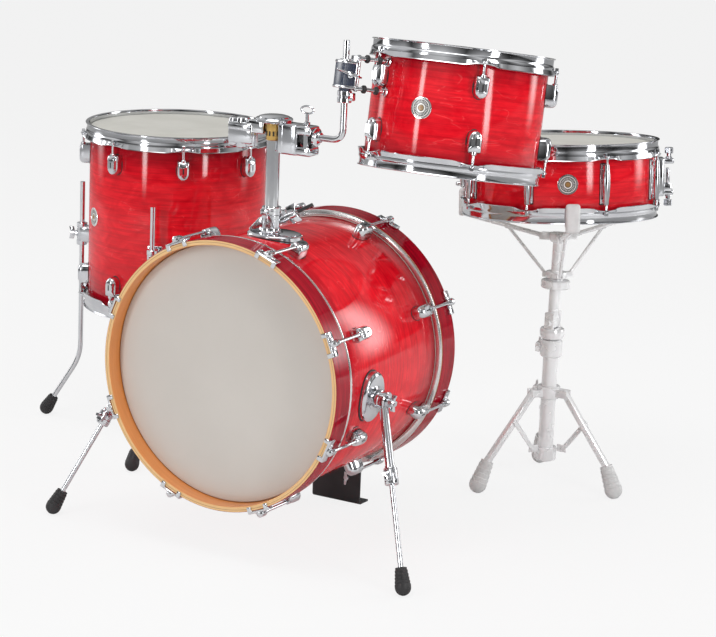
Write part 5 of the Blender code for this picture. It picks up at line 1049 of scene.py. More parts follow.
sleeve = round_bar("clamp_sleeve", [(0.0042, BLOCK_ENDS[0] + 0.0045), (0.0050, BLOCK_ENDS[0] + 0.0055),
                                    (0.0050, BLOCK_ENDS[1] - 0.0010), (0.0042, BLOCK_ENDS[1])],
                   post_place @ shift(RING_X + 0.0065, -0.0118, 0), 24)
holder = joined("holder_casting", [cap, bridge, right_core, sleeve] + left_pieces + right_plates + ribs)
chromed(holder, "post_height", "holder_head")
fitted(ball, "post_height", "black_steel", black_paint)
neck = spun("holder_neck", [(0.0124, NECK[1]), (0.0124, NECK[2]), (NECK[0], NECK[2]),
                            (NECK[0], NECK[1] + 0.001), (NECK[0] - 0.0006, NECK[1])], post_place,
            CIRCLE_STEPS)
fitted(neck, "post_height", "chrome", brass)
# The windows are thin black patches on the neck, painted shade where the openings would be dark.
windows = boxed("neck_window", (0.0006, 0.0034, 0.0085), Matrix(), 0.0002, 1)
spots = [post_place @ at(30 * count, NECK[0] + 0.0001, 0.7365) for count in range(12)]
fitted(copies("neck_window_shade", windows, spots), "post_height", "chrome", window_painted_shade)


def smooth_bend(start, turn, end, reach, steps=10):
    """Points from start to end, with the turn rounded over a reach."""
    before = turn + (start - turn).normalized() * reach
    after = turn + (end - turn).normalized() * reach
    bend = [before.lerp(turn, step / steps).lerp(turn.lerp(after, step / steps), step / steps)
            for step in range(steps + 1)]
    return [start] + bend + [end]


def wire(name, points, radius, place, closed=False, sides=3):
    """A round rod or wire along points, made with a bevelled curve that is turned back into a mesh."""
    line(points + points[:1] if closed else points)
    bpy.ops.mesh.select_all(action="SELECT")
    bpy.ops.mesh.remove_doubles(threshold=MERGE_DISTANCE)
    bpy.ops.object.mode_set(mode="OBJECT")
    bpy.ops.object.convert(target="CURVE")
    curve = bpy.context.object.data
    curve.bevel_depth = radius
    curve.bevel_resolution = sides
    curve.use_fill_caps = True
    bpy.ops.object.convert(target="MESH")
    bpy.ops.object.mode_set(mode="EDIT")
    return done(name, place)


def oval(half_length, half_depth, steps=32):
    """Points round an oval in the xz plane."""
    angles = [2 * pi * count / steps for count in range(steps)]
    return [Vector((half_length * cos(angle), 0, half_depth * sin(angle))) for angle in angles]


screw = round_bar("ring_shaft", [(0.003, ARM_AXIS + 0.0062), (0.003, 0.7585), (0.0058, 0.7590),
                                 (0.0058, 0.7620), (0.003, 0.7630), (0.003, 0.7775)], Matrix(), 20)
ring = wire("ring_loop", oval(0.0125, 0.0064), 0.0018, shift(0, 0, 0.7842), closed=True)
screw = moved(joined("holder_ring", [screw, ring]), post_place @ shift(RING_X, 0, 0))
chromed(screw, "ring_screw", "holder_ring_screw")

# L-shaped arm. A chrome plated steel rod that turns in the holder, is bent upwards and carries the tom's
# bracket. A flanged collar seats it against the holder.
ARM_RADIUS = 0.0058
ARM_START = 0.0383
ARM_ELBOW = 0.140
ARM_LEAN = Vector((-0.034, 0.061, 1)).normalized()
ARM_TOP = 0.172
ARM_BEND = 0.022
elbow = Vector((ARM_ELBOW, 0, ARM_AXIS))
arm_points = smooth_bend(Vector((ARM_START, 0, ARM_AXIS)), elbow, elbow + ARM_LEAN * ARM_TOP, ARM_BEND, 16)
rod = wire("arm_rod", arm_points, ARM_RADIUS, post_place, sides=6)
flange = round_bar("arm_flange", [(0.0150, 0.0003), (0.0160, 0.0013), (0.0160, 0.0040), (0.0125, 0.0052),
                                  (0.0095, 0.0080), (0.0085, 0.0118), (0.0062, 0.0123)],
                   post_place @ aligned((RIGHT_BLOCK[1], 0, ARM_AXIS), (1, 0, 0)))
chromed(joined("tom_arm_rod", [rod, flange]), "arm_roll", "tom_arm")

# Bracket, memory collar and hanger of the rack tom. The bracket is a navy painted casting in a chrome frame
# that slides on the arm, and two rods with rubber bushes carry the shell away from its plate.
RACK_RADIUS = 0.1525
RACK_HALF = 0.1015
RACK_WALL = 0.006
RACK_FIRST = -120.9
RACK_ANGLES = [RACK_FIRST + 72 * count for count in range(5)]
RACK_LUG_HEIGHT = 0.046
BRACKET_OUT = 0.0765
BRACKET_RISE = 0.041
BRACKET_SIZE = (0.029, 0.032, 0.048)
BRACKET_ALONG = 0.114
RACK_LEAN = (0.001, 0.162, 1)
HANGER_ROD = (0.012, 0.026)
ANCHOR = POST + elbow + ARM_LEAN * BRACKET_ALONG
STRIP_DEPTH = 0.0055
TOM_COLLAR = (0.0125, 0.021)
SLEEVE_END = 0.0275
HANGER_FACE = RACK_RADIUS + 0.0617
LOOP_TURN = -13

tilt = aligned((0, 0, 0), RACK_LEAN)
rack_turn = tilt @ rotated(RACK_FIRST, "Z")
rack_middle = ANCHOR - rack_turn @ Vector((RACK_RADIUS + BRACKET_OUT, 0, BRACKET_RISE))
rack_frame = kit_place @ Matrix.Translation(rack_middle) @ tilt
rack_ring = rack_frame @ rotated(RACK_FIRST, "Z")
seat = rack_ring @ shift(RACK_RADIUS + BRACKET_OUT, 0, BRACKET_RISE)
arm_place = kit_place @ aligned(ANCHOR, ARM_LEAN)

collar_section = ((0.0062, TOM_COLLAR[1]), (0.0062, 0.0003), (0.0115, 0.0003), (TOM_COLLAR[0], 0.0013),
                  (TOM_COLLAR[0], 0.0080), (0.0116, 0.0086), (0.0116, 0.0120), (TOM_COLLAR[0], 0.0126),
                  (TOM_COLLAR[0], TOM_COLLAR[1] - 0.001), (0.0115, TOM_COLLAR[1]))
collar = spun("tom_collar", [(radius, -SLEEVE_END - drop) for radius, drop in collar_section], arm_place,
              CIRCLE_STEPS)
ear = boxed("collar_ear", (0.011, 0.012, 0.014), arm_place @ shift(0.0135, 0, -SLEEVE_END - 0.0105), 0.002,
            3)
screw = moved(key_screw(0.9), arm_place @ aligned((0.0145, -0.0058, -SLEEVE_END - 0.0105), (0, -1, 0)))
chromed(joined("tom_memory_collar", [collar, ear, screw]), "tom_height", "tom_memory_collar")

navy_casting = uneven_material("navy_casting", (0.009, 0.018, 0.046), (0.015, 0.026, 0.060), 0.24, 0.36,
                               40.0, 0.06, 600.0, Coat_Weight=0.4)
body = boxed("bracket_body", (BRACKET_SIZE[0] - 0.0010, BRACKET_SIZE[1] - 0.0010, BRACKET_SIZE[2] - 0.004),
             seat, 0.003, 4)
sleeve = spun("bracket_sleeve", [(0.0062, -SLEEVE_END), (0.0062, 0.0), (0.0105, 0.0),
                                 (0.0105, -SLEEVE_END + 0.0010), (0.0098, -SLEEVE_END)], arm_place,
              CIRCLE_STEPS)
fitted(joined("tom_bracket_body", [body, sleeve]), "tom_swivel", "black_steel", navy_casting, "tom_bracket")
strips = [boxed("bracket_strip", (*BRACKET_SIZE[:2], STRIP_DEPTH),
                seat @ shift(0, 0, side * (BRACKET_SIZE[2] - STRIP_DEPTH) / 2), 0.0018, 3)
          for side in (1, -1)]
strips += [boxed("bracket_post", (0.0042, 0.0042, BRACKET_SIZE[2] - 0.006),
                 seat @ shift(0.0021 - BRACKET_SIZE[0] / 2, y * (BRACKET_SIZE[1] / 2 - 0.0021), 0), 0.0012,
                 2) for y in (1, -1)]
lid = spun("bracket_lid", [(0.0062, 0.0240), (0.0062, 0.0262), (0.0100, 0.0262), (0.0110, 0.0252),
                           (0.0110, 0.0230)], arm_place, CIRCLE_STEPS)
chromed(joined("tom_bracket_frame", strips + [lid]), "tom_swivel")

screw_start = BRACKET_SIZE[1] / 2
shaft = round_bar("loop_shaft", [(0.0035, 0.0062), (0.0035, screw_start + 0.0002),
                                 (0.0058, screw_start + 0.0004), (0.0058, screw_start + 0.0020),
                                 (0.0035, screw_start + 0.0026), (0.0035, 0.0195)], Matrix(), 20)
loop = wire("screw_loop", oval(0.0235, 0.011), 0.0017, shift(0.0095, 0, 0.0304), closed=True)
screw = moved(joined("bracket_loop", [shaft, loop]), seat @ rotated(-90, "X") @ rotated(LOOP_TURN, "Z"))
chromed(screw, "loop_screw", "bracket_loop_screw")

middle = BRACKET_RISE + 0.004
plate_place = rack_ring @ shift(HANGER_FACE - 0.00225, 0.001, middle)
hanger_parts = [boxed("hanger_plate", (0.0045, 0.030, 0.060), plate_place, 0.0015, 3)]
bushes = []
for side in (1, -1):
    place = rack_ring @ shift(RACK_RADIUS, HANGER_ROD[0], middle + side * HANGER_ROD[1]) @ rotated(90, "Y")
    hanger_parts.append(round_bar("hanger_rod", [(0.0078, 0.0), (0.0078, 0.0018), (0.0062, 0.0030),
                                                 (0.0062, 0.0055), (0.0035, 0.0065), (0.0035, 0.0580),
                                                 (0.0055, 0.0582), (0.0055, 0.0625), (0.0030, 0.0645)],
                                  place, 24))
    bushes += [round_bar("hanger_bush",
                         [(0.0060, start), (0.0071, start + 0.0012), (0.0071, start + 0.0048),
                          (0.0060, start + 0.0060)], place, 28) for start in (0.017, 0.041)]
chromed(joined("tom_hanger_rods", hanger_parts), "tom_swivel", "tom_hanger")
fitted(joined("tom_hanger_bushes", bushes), "tom_swivel", "black_rubber", foot_rubber)

# Rack tom, and the hoops, rods, lugs, heads and badge that all three smaller drums share. The hoops are
# pressed steel with a folded lip and a flange that is flat at each rod and droops between them.
EAR_HALF = 0.007
EAR_BLEND = 0.026
ROD_OFFSET = 0.0135
FLANGE = {  # height under the bearing edge: (radius, height) at a rod, (radius, height) between rods
    -0.0138: ((0.0170, -0.0138), (0.0108, -0.0190)),
    -0.0149: ((0.0175, -0.0149), (0.0117, -0.0203)),
    -0.0160: ((0.0170, -0.0160), (0.0105, -0.0210)),
    -0.0161: ((0.0080, -0.0160), (0.0080, -0.0130)),
}
HOOP_TURN_IN = 0.0075
TOM_LUG = (0.040, 0.0245, 0.0205)
GASKET_SPARE = 0.003
FLESH_ENDS = (0.004, 0.011)
FLESH_REACH = 0.0062
BADGE_RADIUS = 0.019
BADGE_BRASS = (0.36, 0.20, 0.06)
BADGE_ENAMEL = (0.02, 0.02, 0.02)
BADGE_PALE = (0.78, 0.77, 0.74)
BADGE_RINGS = ((0.0, BADGE_BRASS), (0.24, BADGE_ENAMEL), (0.30, (0.80, 0.78, 0.74)), (0.42, BADGE_ENAMEL),
               (0.74, BADGE_PALE), (0.82, BADGE_ENAMEL), (0.87, (0.80, 0.80, 0.81)))
BADGE_TICK = (0.80, 0.79, 0.76, 1)
BADGE_TICKS = 26.0
TICK_BAND = ((0.0, 0.0), (0.47, 1.0), (0.67, 0.0))


def metal_hoop(name, place, radius, half, angles):
    """A pressed steel hoop with its lip up, whose flange is shaped to the rods at these angles."""
    section = [(0.0020, 0.0085), (0.0024, 0.0098), (0.0035, 0.0100), (0.0088, 0.0100), (0.0094, 0.0095),
               (0.0095, 0.0089), (0.0090, 0.0083), (0.0072, 0.0080), (0.0066, 0.0072), (0.0064, -0.0012),
               (0.0067, -0.0030), (0.0080, -0.0048), (0.0086, -0.0064), (0.0087, -0.0112),
               (0.0170, -0.0138), (0.0175, -0.0149), (0.0170, -0.0160), (0.0080, -0.0161),
               (0.0072, -0.0066), (0.0066, -0.0056), (0.0025, -0.0032), (0.0020, -0.0020)]
    hoop = spun(name, [(radius + out, half + rise) for out, rise in section], Matrix(), 24 * len(angles))
    step = 2 * pi / len(angles)
    for vertex in hoop.data.vertices:
        key = round(vertex.co.z - half, 4)
        if key not in FLANGE or sqrt(vertex.co.x ** 2 + vertex.co.y ** 2) < radius + HOOP_TURN_IN:
            continue
        azimuth = atan2(vertex.co.y, vertex.co.x)
        away = abs((azimuth + step / 2) % step - step / 2) * radius
        share = min(max((away - EAR_HALF) / EAR_BLEND, 0), 1)
        share = share * share * (3 - 2 * share)
        (out, rise), (out_between, rise_between) = FLANGE[key]
        reach = radius + out * (1 - share) + out_between * share
        vertex.co = (reach * cos(azimuth), reach * sin(azimuth), half + rise * (1 - share)
                     + rise_between * share)
    return moved(hoop, place @ rotated(angles[0], "Z"))


def tension_rods(name, place, radius, half, angles, end):
    """Tension rods with their washers and square heads, down to a height in their lugs."""
    rod = round_bar("rod", [(0.0020, end), (0.0025, end + 0.001), (0.0025, half - 0.0140),
                            (0.0056, half - 0.0137), (0.0056, half - 0.0127), (0.0042, half - 0.0125),
                            (0.0042, half - 0.0110), (0.0036, half - 0.0104)], Matrix(), 20)
    head = boxed("rod_head", (0.0060, 0.0060, 0.0062), shift(0, 0, half - 0.0085), 0.0006, 1)
    return copies(name, joined("rod", [rod, head]),
                  [place @ at(angle, radius + ROD_OFFSET, 0) for angle in angles])


def badge_enamel(name, place):
    """Round badge of a brass middle, an enamel ring with plain tick marks and a chrome rim."""
    material, tree, shader = bare_material(name, Coat_Weight=0.3)
    split = add(tree, "SeparateXYZ", _0=placed(tree, place))
    flat = add(tree, "CombineXYZ", X=split.outputs["X"], Y=split.outputs["Y"])
    size = add(tree, "VectorMath", {"operation": "LENGTH"}, _0=flat.outputs[0])
    share = maths(tree, "DIVIDE", size.outputs["Value"], BADGE_RADIUS)
    angle = maths(tree, "ARCTAN2", split.outputs["Y"], split.outputs["X"])
    waves = maths(tree, "SINE", maths(tree, "MULTIPLY", angle, BADGE_TICKS))
    ticks = maths(tree, "GREATER_THAN", waves, 0.35)
    marks = maths(tree, "MULTIPLY", ticks, ramp(tree, share, TICK_BAND, "CONSTANT"))
    colour = mixed(tree, marks, ramp(tree, share, BADGE_RINGS, "CONSTANT"), BADGE_TICK)
    rim = maths(tree, "GREATER_THAN", share, BADGE_RINGS[-1][0])
    linked(tree, shader, Base_Color=colour, Metallic=rim, Roughness=ranged(tree, rim, 0.0, 1.0, 0.35, 0.12))
    return material


def badge(name, frame, radius, azimuth, height, body):
    """Badge bent to a shell, with its vent in the middle."""
    place = frame @ outwards(azimuth, radius, height)
    full = BADGE_RADIUS
    plate = round_bar(name, [(full, -0.0003), (full, 0.0012), (full - 0.0006, 0.0018),
                             (full - 0.0022, 0.0018), (full - 0.0026, 0.0013), (0.013, 0.0013),
                             (0.009, 0.0013), (0.0046, 0.0013), (0.0044, 0.0019), (0.0022, 0.0019),
                             (0.0020, 0.0008)], Matrix(), 48)
    return fitted(moved(wrapped(plate, radius), place), body, "chrome",
                  badge_enamel(name + "_enamel", place))


def tube_lug(length, width):
    """A long lug, of a tube for two rods that bridges between two feet on a thin plate."""
    reach = length / 2
    tube = round_bar("lug_tube", [(0.0040, -reach), (0.0050, -reach + 0.0010), (0.0052, -reach + 0.0080),
                                  (0.0066, -reach * 0.5), (0.0072, 0), (0.0066, reach * 0.5),
                                  (0.0052, reach - 0.0080), (0.0050, reach - 0.0010), (0.0040, reach)],
                     shift(0.0124, 0, 0), 24)
    feet = [boxed("lug_foot", (0.0130, 0.0095, 0.0080), shift(0.0065, 0, side * (reach - 0.0070)), 0.0016,
                  3) for side in (1, -1)]
    return joined("lug",
                  [tube, boxed("lug_base", (0.0034, width, length - 0.002), shift(0.0014, 0, 0), 0.0014, 3)]
                  + feet)


def small_drum(word, frame, radius, half, wall, angles, lug_height, lug_size, body, badge_place):
    """Shell, lugs, heads, hoops, rods and badge of one of the smaller drums."""
    lacquer = crimson_lacquer(word + "_crimson_lacquer", frame, half)
    fitted(spun(word + "_drum_shell", shell_section(radius, half, wall), frame), body, "shell_lacquer",
           lacquer, word + "_shell")
    length, width, rise = lug_size
    places = [frame @ at(angle, radius, lug_height) for angle in angles]
    if lug_height:
        flip = rotated(180, "X")
        places += [frame @ at(angle, radius, -lug_height) @ flip for angle in angles]
        lug = bullet_lug(length, width, rise, ROD_OFFSET)
        # The gasket piece carries the black block of painted shade in each lug's slot.
        pad = gasket(length + GASKET_SPARE, width + GASKET_SPARE, rise)
    else:
        lug = tube_lug(length, width)
        pad = boxed("lug_pad", (GASKET_SHEET, width + 0.0016, length + 0.0016), Matrix(), 0.0005)
    chromed(copies(word + "_lugs", lug, places), body)
    fitted(copies(word + "_lug_gaskets", pad, places), body, "black_rubber", gasket_rubber)
    under = frame @ rotated(180, "X")
    sides = (("top", frame, angles, coated_film, "coated_head"),
             ("bottom", under, [-angle for angle in angles], smooth_film, "smooth_head"))
    for side, place, spots, film, slot in sides:
        drumhead = spun(f"{word}_{side}_film", film_section(radius, half, half - FLESH_ENDS[1]), place,
                        closed=False)
        fitted(drumhead, body, slot, film, f"{word}_{side}_head")
        ring = flesh_section(radius + COLLAR_OUT, radius + FLESH_REACH, half - FLESH_ENDS[0],
                             half - FLESH_ENDS[1], 0.0015)
        fitted(spun(f"{word}_{side}_flesh_hoop", ring, place), body, "chrome", flesh_metal)
        hoop = metal_hoop(f"{word}_{side}_steel_hoop", place, radius, half, spots)
        chromed(hoop, body, f"{word}_{side}_hoop")
        end = lug_height + length / 2 - 0.004
        chromed(tension_rods(f"{word}_{side}_rods", place, radius, half, spots, end), body)
    badge(word + "_badge", frame, radius, *badge_place, body)


small_drum("rack_tom", rack_frame, RACK_RADIUS, RACK_HALF, RACK_WALL, RACK_ANGLES, RACK_LUG_HEIGHT, TOM_LUG,
           "tom_swivel", (-85.3, 0.0))

# Floor tom. A deep drum on three legs that slide in chrome brackets on its shell, each locked by a wing bolt.
# The legs bend outwards near the floor and end in ribbed rubber feet.
FLOOR_PLACE = Vector((-0.533, 0.435, 0))
FLOOR_MIDDLE = 0.449
FLOOR_RADIUS = 0.178
FLOOR_HALF = 0.178
FLOOR_WALL = 0.006
FLOOR_LUG_HEIGHT = 0.123
FLOOR_ANGLES = [-142.6 + 45 * count for count in range(8)]
LEG_RADIUS = 0.005
LEG_STANDOFF = 0.025
LEG_TOP = 0.501
LEG_KNEE = 0.133
LEG_BEND = 0.030
LEG_FOOT = (0.014, 0.044)
LEGS = (("left", 197.0, 0.285), ("front", 291.0, 0.345), ("rear", 61.0, 0.310))  # azimuth, reach
BRACKET_HEIGHT = 0.393

floor_ground = kit_place @ Matrix.Translation(FLOOR_PLACE)
floor_frame = floor_ground @ shift(0, 0, FLOOR_MIDDLE)
small_drum("floor_tom", floor_frame, FLOOR_RADIUS, FLOOR_HALF, FLOOR_WALL, FLOOR_ANGLES, FLOOR_LUG_HEIGHT,
           TOM_LUG, "kit", (-123.5, 0.004))
plate = boxed("leg_plate", (0.006, 0.030, 0.052), shift(0.002, 0, 0), 0.0018, 3)
neck = boxed("leg_neck", (0.028, 0.022, 0.034), shift(0.015, 0, 0), 0.005, 4)
barrel = spun("leg_barrel", [(0.0054, -0.023), (0.0054, 0.023), (0.0098, 0.023), (0.0110, 0.0218),
                             (0.0110, 0.0140), (0.0102, 0.0132), (0.0102, -0.0132), (0.0110, -0.0140),
                             (0.0110, -0.0218), (0.0098, -0.023)], shift(LEG_STANDOFF, 0, 0), 32)
bolt = round_bar("leg_bolt", [(0.0062, 0.030), (0.0062, 0.0375), (0.0040, 0.0385), (0.0040, 0.048)],
                 rotated(90, "Y"), 24)
lobes = moved(wing(0.026, 0.014, 0.0052, 0.0058), shift(0.041, 0, 0) @ rotated(90, "Y") @ rotated(90, "Z"))
bracket = joined("leg_bracket", [plate, neck, barrel, bolt, lobes])
spots = [floor_ground @ at(azimuth, FLOOR_RADIUS, BRACKET_HEIGHT) for word, azimuth, foot in LEGS]
chromed(copies("floor_tom_leg_brackets", bracket, spots), "kit")
for word, azimuth, foot_radius in LEGS:
    place = floor_ground @ rotated(azimuth, "Z")
    top = Vector((FLOOR_RADIUS + LEG_STANDOFF, 0, LEG_TOP))
    knee = Vector((top.x, 0, LEG_KNEE))
    toe = Vector((foot_radius, 0, 0))
    along = (toe - knee).normalized()
    centre = knee + along * ((LEG_FOOT[0] - knee.z) / along.z)
    sole = centre + along * LEG_FOOT[0]
    rod = wire(f"floor_tom_{word}_rod", smooth_bend(top, knee, centre, LEG_BEND, 12), LEG_RADIUS, place,
               sides=5)
    chromed(rod, f"floor_leg_{word}", f"floor_tom_leg_{word}")
    tip = rubber_foot(f"floor_tom_{word}_foot", *LEG_FOOT, place @ aligned(sole, -along),
                      LEG_RADIUS + 0.0001)
    fitted(tip, f"floor_leg_{word}", "black_rubber", foot_rubber)

# Snare stand. A folding steel tripod of a tube with a strut hub, a sliding collar, three channel legs and
# their riveted struts, with a height tube, its clamp and a tilter. All is pale satin, with pale rubber feet.
STAND = Vector((0.270, 0.550, 0))
STAND_LEGS = (("front_left", 239.4), ("right", 359.4), ("rear", 479.4))
TUBE = (0.0145, 0.0108, 0.050, 0.2755)
STRUT_HUB = (0.0215, 0.053, 0.078)
LEG_COLLAR = (0.022, 0.177, 0.201)
LEG_PIVOT = (0.036, 0.189)
LEG_FOOT_TOP = (0.132, 0.062)
STAND_TOE = (0.151, 0.017)
STRUT_PIVOT = (0.035, 0.078)
STRUT_TIP = (0.078, 0.135)
STRUT_SHIFT = 0.0088
HEIGHT_CLAMP = (0.021, 0.259, 0.293)
TILTER = (0.024, 0.294, 0.316, 0.328)
CLAMP_AZIMUTH = 200.0

pale_satin = uneven_material("pale_satin_steel", (0.93, 0.93, 0.94), (0.86, 0.86, 0.87), 0.22, 0.32, 20.0,
                             0.03, 500.0, Metallic=0.30)
pale_rubber = uneven_material("pale_rubber", (0.72, 0.72, 0.72), (0.64, 0.64, 0.64), 0.50, 0.62, 50.0, 0.10,
                              700.0)
stand_place = kit_place @ Matrix.Translation(STAND)


def satin(piece, body, *nodes):
    """Gives a piece the stand's finish and its body."""
    return fitted(piece, body, "pale_steel", pale_satin, *nodes)


def ring_section(outer, inner, bottom, top, edge=0.0012):
    """Section of a plain collar with rounded outer edges."""
    return [(inner, bottom), (inner, top), (outer - edge, top), (outer, top - edge), (outer, bottom + edge),
            (outer - edge, bottom)]


def bar_place(start, end, across):
    """Middle of a bar in a leg's plane, with x along it and y across the plane, and its length."""
    first, last = Vector((start[0], across, start[1])), Vector((end[0], across, end[1]))
    span = last - first
    forward_axis = span.normalized()
    upward = forward_axis.cross(Vector((0, 1, 0)))
    place = Matrix((forward_axis, Vector((0, 1, 0)), upward)).transposed().to_4x4()
    place.translation = (first + last) / 2
    return place, span.length


def clamp_wing(height, radius, azimuth):
    """A wing bolt on a stand's clamp, with its ear."""
    ear = boxed("clamp_ear", (0.016, 0.014, 0.018), shift(radius, 0, height), 0.003, 3)
    shaft = round_bar("clamp_bolt", [(0.004, -0.016), (0.004, 0.018), (0.006, 0.0185), (0.006, 0.024)],
                      shift(radius + 0.003, 0, height) @ rotated(90, "X"), 20)
    lobes = moved(wing(0.026, 0.012, 0.005, 0.0062), shift(radius + 0.003, -0.022, height)
                  @ rotated(90, "X"))
    return moved(joined("clamp_wing", [ear, shaft, lobes]), rotated(azimuth, "Z"))


tube_section = [(TUBE[1], TUBE[2]), (TUBE[1], TUBE[3]), (TUBE[0] - 0.0006, TUBE[3]),
                (TUBE[0], TUBE[3] - 0.0006), (TUBE[0], TUBE[2] + 0.0006), (TUBE[0] - 0.0006, TUBE[2])]
hub_section = ring_section(STRUT_HUB[0], TUBE[1], STRUT_HUB[1], STRUT_HUB[2])
clamp_section = ring_section(HEIGHT_CLAMP[0], TUBE[1], HEIGHT_CLAMP[1], HEIGHT_CLAMP[2], 0.003)
turned_parts = (("stand_tube", tube_section), ("strut_hub", hub_section), ("height_clamp", clamp_section))
lower = [spun(name, section, Matrix(), CIRCLE_STEPS) for name, section in turned_parts]
lower.append(clamp_wing((HEIGHT_CLAMP[1] + HEIGHT_CLAMP[2]) / 2, 0.0225, CLAMP_AZIMUTH))
collar_parts = [spun("leg_ring", ring_section(LEG_COLLAR[0], TUBE[0] + 0.0003, LEG_COLLAR[1], LEG_COLLAR[2],
                                              0.002), Matrix(), CIRCLE_STEPS),
                clamp_wing(LEG_PIVOT[1], 0.0235, CLAMP_AZIMUTH)]
for word, azimuth in STAND_LEGS:
    turn = rotated(azimuth, "Z")
    lower.append(boxed("hub_ear", (0.020, 0.003, 0.014), turn @ shift(0.032, 0.0055, STRUT_PIVOT[1]),
                       0.0008))
    for side in (1, -1):
        collar_parts.append(boxed("leg_ear", (0.024, 0.003, 0.015),
                                  turn @ shift(0.031, side * 0.0088, LEG_PIVOT[1]), 0.0008))
for pieces, name, body, node in ((lower, "stand_lower_section", "kit", "stand_lower_tube"),
                                 (collar_parts, "stand_tripod_collar", "leg_collar", "stand_leg_collar")):
    satin(moved(joined(name, pieces), stand_place), body, node)

for word, azimuth in STAND_LEGS:
    leg_place = stand_place @ rotated(azimuth, "Z")
    place, length = bar_place(LEG_PIVOT, LEG_FOOT_TOP, 0)
    block((length + 0.012, 0.014, 0.010), (0, 0, 0))
    pick(lambda middle, normal: normal.z < -0.9)
    bpy.ops.mesh.inset(thickness=0.0018)
    push((0, 0, 0.0065))
    rounded(0.0010, 2)
    channel = done("leg_channel", leg_place @ place)
    pin = round_bar("leg_pin", mirrored([(0.0030, -0.0112), (0.0022, -0.0105)]),
                    leg_place @ aligned((LEG_PIVOT[0], 0, LEG_PIVOT[1]), (0, 1, 0)), 16)
    satin(joined(f"stand_{word}_leg", [channel, pin]), f"stand_leg_{word}", f"stand_leg_{word}")
    top = Vector((LEG_FOOT_TOP[0], 0, LEG_FOOT_TOP[1]))
    toe = Vector((STAND_TOE[0], 0, STAND_TOE[1]))
    along = (toe - top).normalized()
    sole = toe + along * STAND_TOE[1]
    tip = rubber_foot(f"stand_{word}_foot", STAND_TOE[1], (sole - top).length,
                      leg_place @ aligned(sole, -along), 0.006)
    fitted(tip, f"stand_leg_{word}", "pale_steel", pale_rubber)
    place, length = bar_place(STRUT_PIVOT, STRUT_TIP, STRUT_SHIFT)
    strut = boxed("strut_bar", (length + 0.009, 0.003, 0.009), leg_place @ place, 0.0009, 2)
    rivet = [(0.0034, 0.0022), (0.0034, 0.0010), (0.0022, 0.0005), (0.0022, -0.0070)]
    spots = [leg_place @ aligned((spot[0], STRUT_SHIFT, spot[1]), (0, 1, 0))
             for spot in (STRUT_PIVOT, STRUT_TIP)]
    pins = [round_bar("strut_pin", rivet, spot, 16) for spot in spots]
    satin(joined(f"stand_{word}_strut", [strut] + pins), f"stand_strut_{word}", f"stand_strut_{word}")

upper = [spun("height_tube", [(0, 0.140), (0.0100, 0.140), (0.0105, 0.1406), (0.0105, TILTER[2])], Matrix(),
              CIRCLE_STEPS, closed=False),
         spun("tilter_cup", [(0.0100, TILTER[1]), (0.0170, TILTER[1]), (0.0215, TILTER[1] + 0.003),
                             (0.0236, TILTER[1] + 0.009), (TILTER[0], TILTER[2] - 0.005),
                             (0.0225, TILTER[2] - 0.001), (0.0205, TILTER[2]), (0.0100, TILTER[2])],
              Matrix(), CIRCLE_STEPS)]
upper += [boxed("tilter_ear", (0.020, 0.0058, 0.040), shift(0, side * 0.0145, TILTER[3]), 0.0022, 3)
          for side in (1, -1)]
satin(moved(joined("stand_upper_section", upper), stand_place), "stand_height", "stand_upper_tube")

# Snare basket. A hub on the tilter's stem, a big knurled nut and three hinged arms with braces, whose rubber
# grips hook under the drum's lower hoop.
SNARE_RADIUS = 0.178
SNARE_HALF = 0.0635
SNARE_ANGLES = [-37.4 + 45 * count for count in range(8)]
SNARE_TILT = Vector((-0.070, 0.054, 1)).normalized()
SNARE_MIDDLE = Vector((0.262, 0.562, 0.611))
HUB_DROP = 0.117
BRACE_DROP = 0.074
KNURL_STEPS = 48
NUT = (0.028, 0.016, 0.402)
ARM_SPOTS = (("front", -57.0), ("left", -177.0), ("rear", 63.0))
ARM_OUT = 0.031
BRACE_SHARE = 0.45
GRIP = (0.013, 0.027, -0.0878, -0.0335)
HOOP_FACE = SNARE_RADIUS + 0.0178

snare_frame = kit_place @ aligned(SNARE_MIDDLE, SNARE_TILT)
pivot = STAND + Vector((0, 0, TILTER[3]))
hub_centre = aligned(SNARE_MIDDLE, SNARE_TILT) @ Vector((0, 0, -HUB_DROP))
stem_up = (hub_centre - pivot).normalized()
stem_place = kit_place @ aligned(pivot, stem_up)
stem_length = (hub_centre - pivot).length
nut_middle = (NUT[2] - pivot.z) / stem_up.z


def knurled(piece, depth=0.96):
    """Draws in every other pair of edge points of a turned piece, as knurling."""
    for vertex in piece.data.vertices:
        count = round(atan2(vertex.co.y, vertex.co.x) / (2 * pi / KNURL_STEPS))
        if count % 4 < 2:
            vertex.co.x *= depth
            vertex.co.y *= depth
    return piece


nut = knurled(round_bar("basket_nut", [(0.020, nut_middle - 0.0085), (NUT[0] - 0.0015, nut_middle - 0.0078),
                                       (NUT[0], nut_middle - 0.0060), (NUT[0], nut_middle + 0.0060),
                                       (NUT[0] - 0.0015, nut_middle + 0.0078),
                                       (0.018, nut_middle + 0.0085)], Matrix(), KNURL_STEPS))
hub_parts = [round_bar("basket_stem", [(0.0105, 0.004), (0.0105, nut_middle - 0.011),
                                       (0.0140, nut_middle - 0.0105), (0.0140, nut_middle + 0.0105),
                                       (0.0105, nut_middle + 0.011), (0.0105, stem_length - 0.012),
                                       (0.0150, stem_length - 0.010), (0.0180, stem_length - 0.0068),
                                       (0.0190, stem_length - 0.005), (0.0190, stem_length + 0.005),
                                       (0.0175, stem_length + 0.0068)], Matrix()), nut]
brace_ring = stem_length - BRACE_DROP
hub_parts.append(round_bar("brace_ring",
                           mirrored([(0.0140, -0.0065), (0.0190, -0.0060), (0.0200, -0.0045)]),
                           shift(0, 0, brace_ring)))
for piece in hub_parts:
    piece.data.transform(stem_place)
